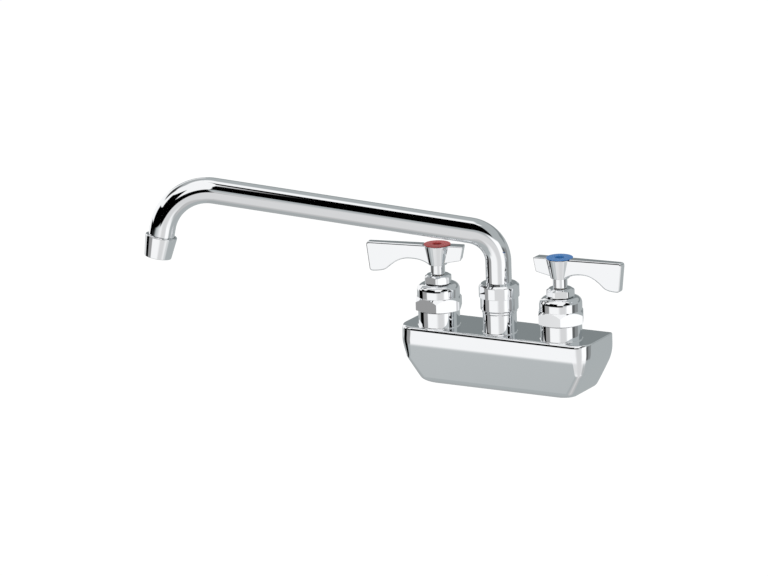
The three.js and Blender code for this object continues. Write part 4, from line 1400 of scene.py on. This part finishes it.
@dataclass
class Studio:
    """Camera, floor, soft light and the surroundings that the metal reflects.

    The camera's sizes are in millimetres and pixels, and those of the floor and the lamp in
    metres.
    """

    azimuth: float = 29.5
    elevation: float = 15.0
    roll: float = 1.8
    distance: float = 5000.0
    focal_pixels: float = 6810.0
    target: tuple[float, float, float] = (0.0, AXIS_Y, BODY_TOP)
    target_pixel: tuple[float, float] = (500.2, 331.2)
    frame_pixels: tuple[int, int] = (768, 576)
    sensor: float = 36.0
    view_depth: float = 100
    floor_height: float = -0.6
    floor_reach: float = 40
    floor_grey: float = 0.9
    floor_glow: float = 1.14
    glow_share: float = 0.75
    plain_level: float = 0.75
    between_panels: tuple[float, float, float] = (0.42, 0.45, 0.455)
    lamp_width: float = 1.6
    lamp_power: float = 22
    lamp_place: tuple[float, float, float] = (0.5, -1.4, 2.0)

    def camera(self) -> None:
        """Sets the camera from its measured direction and the pixel of the target."""
        azimuth, elevation = math.radians(self.azimuth), math.radians(self.elevation)
        back = Vector((
            math.sin(azimuth) * math.cos(elevation),
            -math.cos(azimuth) * math.cos(elevation),
            math.sin(elevation),
        ))
        level = Vector((math.cos(azimuth), math.sin(azimuth), 0))
        upright = back.cross(level)
        roll = math.radians(self.roll)
        right = level * math.cos(roll) - upright * math.sin(roll)
        up = level * math.sin(roll) + upright * math.cos(roll)
        width, height = self.frame_pixels
        across = (self.target_pixel[0] - width / 2) / self.focal_pixels
        above = (height / 2 - self.target_pixel[1]) / self.focal_pixels
        place = Vector(self.target) + self.distance * (back - right * across - up * above)
        data = bpy.data.cameras.new("camera")
        data.sensor_width = self.sensor
        data.lens = self.focal_pixels * self.sensor / width
        data.clip_end = self.view_depth
        camera = linked("camera", data)
        turn = Matrix((right, up, back)).transposed().to_4x4()
        camera.matrix_world = Matrix.Translation(place * MM) @ turn
        bpy.context.scene.camera = camera

    def floor(self) -> None:
        """Lays a pale floor below the faucet, which keeps its shadow."""
        mesh = bpy.data.meshes.new("floor")
        bm = bmesh.new()
        bmesh.ops.create_grid(bm, x_segments=1, y_segments=1, size=self.floor_reach)
        bmesh.ops.translate(bm, verts=bm.verts, vec=(0, 0, self.floor_height))
        bm.to_mesh(mesh)
        bm.free()
        floor = linked("floor", mesh)
        material = bpy.data.materials.new("floor")
        material.use_nodes = True
        graph = NodeGraph(material.node_tree)
        diffuse = graph.add("ShaderNodeBsdfDiffuse")
        diffuse.inputs["Color"].default_value = (*[self.floor_grey] * 3, 1.0)
        glow = graph.add("ShaderNodeEmission")
        glow.inputs["Color"].default_value = WHITE
        glow.inputs["Strength"].default_value = self.floor_glow
        seen = graph.add("ShaderNodeLightPath").outputs["Is Camera Ray"]
        share = graph.math("MULTIPLY", seen, self.glow_share)
        both = graph.mixed(share, diffuse, glow)
        output = graph.add("ShaderNodeOutputMaterial")
        graph.feed(output.inputs["Surface"], both)
        mesh.materials.append(material)
        floor.visible_glossy = False

    def _mask(
        self, graph: NodeGraph, panel: Panel, azimuth: bpy.types.NodeSocket,
        elevation: bpy.types.NodeSocket,
    ) -> bpy.types.NodeSocket:
        """Adds the nodes that say how much of a panel a direction meets.

        Args:
            graph: The world's nodes.
            panel: The panel.
            azimuth: The direction's azimuth.
            elevation: The direction's elevation.

        Returns:
            A number from 0 to 1.
        """
        half = panel.soft / 2
        top: object = panel.top
        if panel.slope:
            top = graph.math("MULTIPLY_ADD", azimuth, panel.slope, panel.top)
        over = graph.math("SUBTRACT", elevation, top)
        across = azimuth
        if panel.lean:
            across = graph.math("MULTIPLY_ADD", elevation, -panel.lean, azimuth)
        sides = (
            graph.ramp(across, panel.left - half, panel.left + half, (0.0, 1.0)),
            graph.ramp(across, panel.right - half, panel.right + half, (1.0, 0.0)),
            graph.ramp(elevation, panel.bottom - half, panel.bottom + half, (0.0, 1.0)),
            graph.ramp(over, -half, half, (1.0, 0.0)),
        )
        mask = sides[0]
        for side in sides[1:]:
            mask = graph.math("MULTIPLY", mask, side)
        return mask

    def world(self) -> None:
        """Sets a white surrounding whose soft panels only polished metal sees."""
        world = bpy.data.worlds.new("studio")
        bpy.context.scene.world = world
        world.use_nodes = True
        graph = NodeGraph(world.node_tree)
        direction = graph.add("ShaderNodeTexCoord").outputs["Generated"]
        turn = math.radians(self.azimuth)
        front = graph.dot(direction, Vector((math.sin(turn), -math.cos(turn), 0)))
        right = graph.dot(direction, Vector((math.cos(turn), math.sin(turn), 0)))
        upward = graph.dot(direction, Vector((0, 0, 1)))
        azimuth = graph.math("DEGREES", graph.math("ARCTAN2", right, front))
        elevation = graph.math("DEGREES", graph.math("ARCSINE", upward))
        colour = (*self.between_panels, 1.0)
        for panel in PANELS:
            mask = self._mask(graph, panel, azimuth, elevation)
            shade = tuple(panel.level * c for c in panel.tint)
            colour = graph.blend(mask, colour, (*shade, 1.0))
        path = graph.add("ShaderNodeLightPath")
        plain = graph.add("ShaderNodeBackground")
        plain.inputs["Color"].default_value = WHITE
        level = graph.ramp(path.outputs["Is Camera Ray"], 0.0, 1.0, (self.plain_level, 1.0))
        graph.feed(plain.inputs["Strength"], level)
        mirror = graph.add("ShaderNodeBackground")
        graph.feed(mirror.inputs["Color"], colour)
        output = graph.add("ShaderNodeOutputWorld")
        both = graph.mixed(path.outputs["Is Glossy Ray"], plain, mirror)
        graph.feed(output.inputs["Surface"], both)

    def lamp(self) -> None:
        """Hangs one large soft lamp above and in front."""
        data = bpy.data.lights.new("soft_lamp", "AREA")
        data.shape = "DISK"
        data.size = self.lamp_width
        data.energy = self.lamp_power
        lamp = linked("soft_lamp", data)
        place = Vector(self.lamp_place)
        turn = place.to_track_quat("Z", "Y").to_matrix().to_4x4()
        lamp.matrix_world = Matrix.Translation(place) @ turn
        lamp.visible_glossy = False

    def build(self) -> None:
        """Sets the whole stage."""
        bpy.context.scene.view_settings.view_transform = "Standard"
        self.camera()
        self.floor()
        self.world()
        self.lamp()


# ---------------------------------------------------------------- what shows of the CAD
KEPT = {
    BRASS: (
        "hot_cartridge_shell", "cold_cartridge_shell", "hot_stem", "cold_stem",
        "spout_swivel_sleeve",
    ),
    RUBBER: (
        "hot_seat_seal", "cold_seat_seal", "hot_stem_o_ring", "cold_stem_o_ring",
        "spout_o_ring_lower", "spout_o_ring_upper", "aerator_washer",
    ),
    CERAMIC: ("hot_fixed_disc", "hot_moving_disc", "cold_fixed_disc", "cold_moving_disc"),
    PACKING: ("hot_packing_ring", "cold_packing_ring", "spout_slip_ring"),
    STEEL: ("aerator_screen",),
    GREY_PLASTIC: ("aerator_insert",),
}


def dress_kept(nodes: dict[str, bpy.types.Object]) -> None:
    """Gives the CAD nodes that stay their finishes.

    Args:
        nodes: The frame's nodes.
    """
    for look, names in KEPT.items():
        for name in names:
            nodes[name].data.materials.clear()
            nodes[name].data.materials.append(look.material())


def main() -> None:
    """Builds the studio and every sub-assembly."""
    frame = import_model()
    for part in (
        Studio(),
        Body(),
        Bonnet("hot", -VALVE_X, turn=22.5, nut_turn=22.5),
        Bonnet("cold", VALVE_X, turn=26, nut_turn=0),
        Lever("hot", -VALVE_X, HOT_LEVER_DIRECTION, INDEX_RED),
        Lever("cold", VALVE_X, COLD_LEVER_DIRECTION, INDEX_BLUE),
        Spout(),
        Inlet("hot", -VALVE_X),
        Inlet("cold", VALVE_X),
    ):
        part.build()
    dress_kept(frame["nodes"])


if __name__ == "__main__":
    logging.basicConfig(level=logging.INFO)
    main()
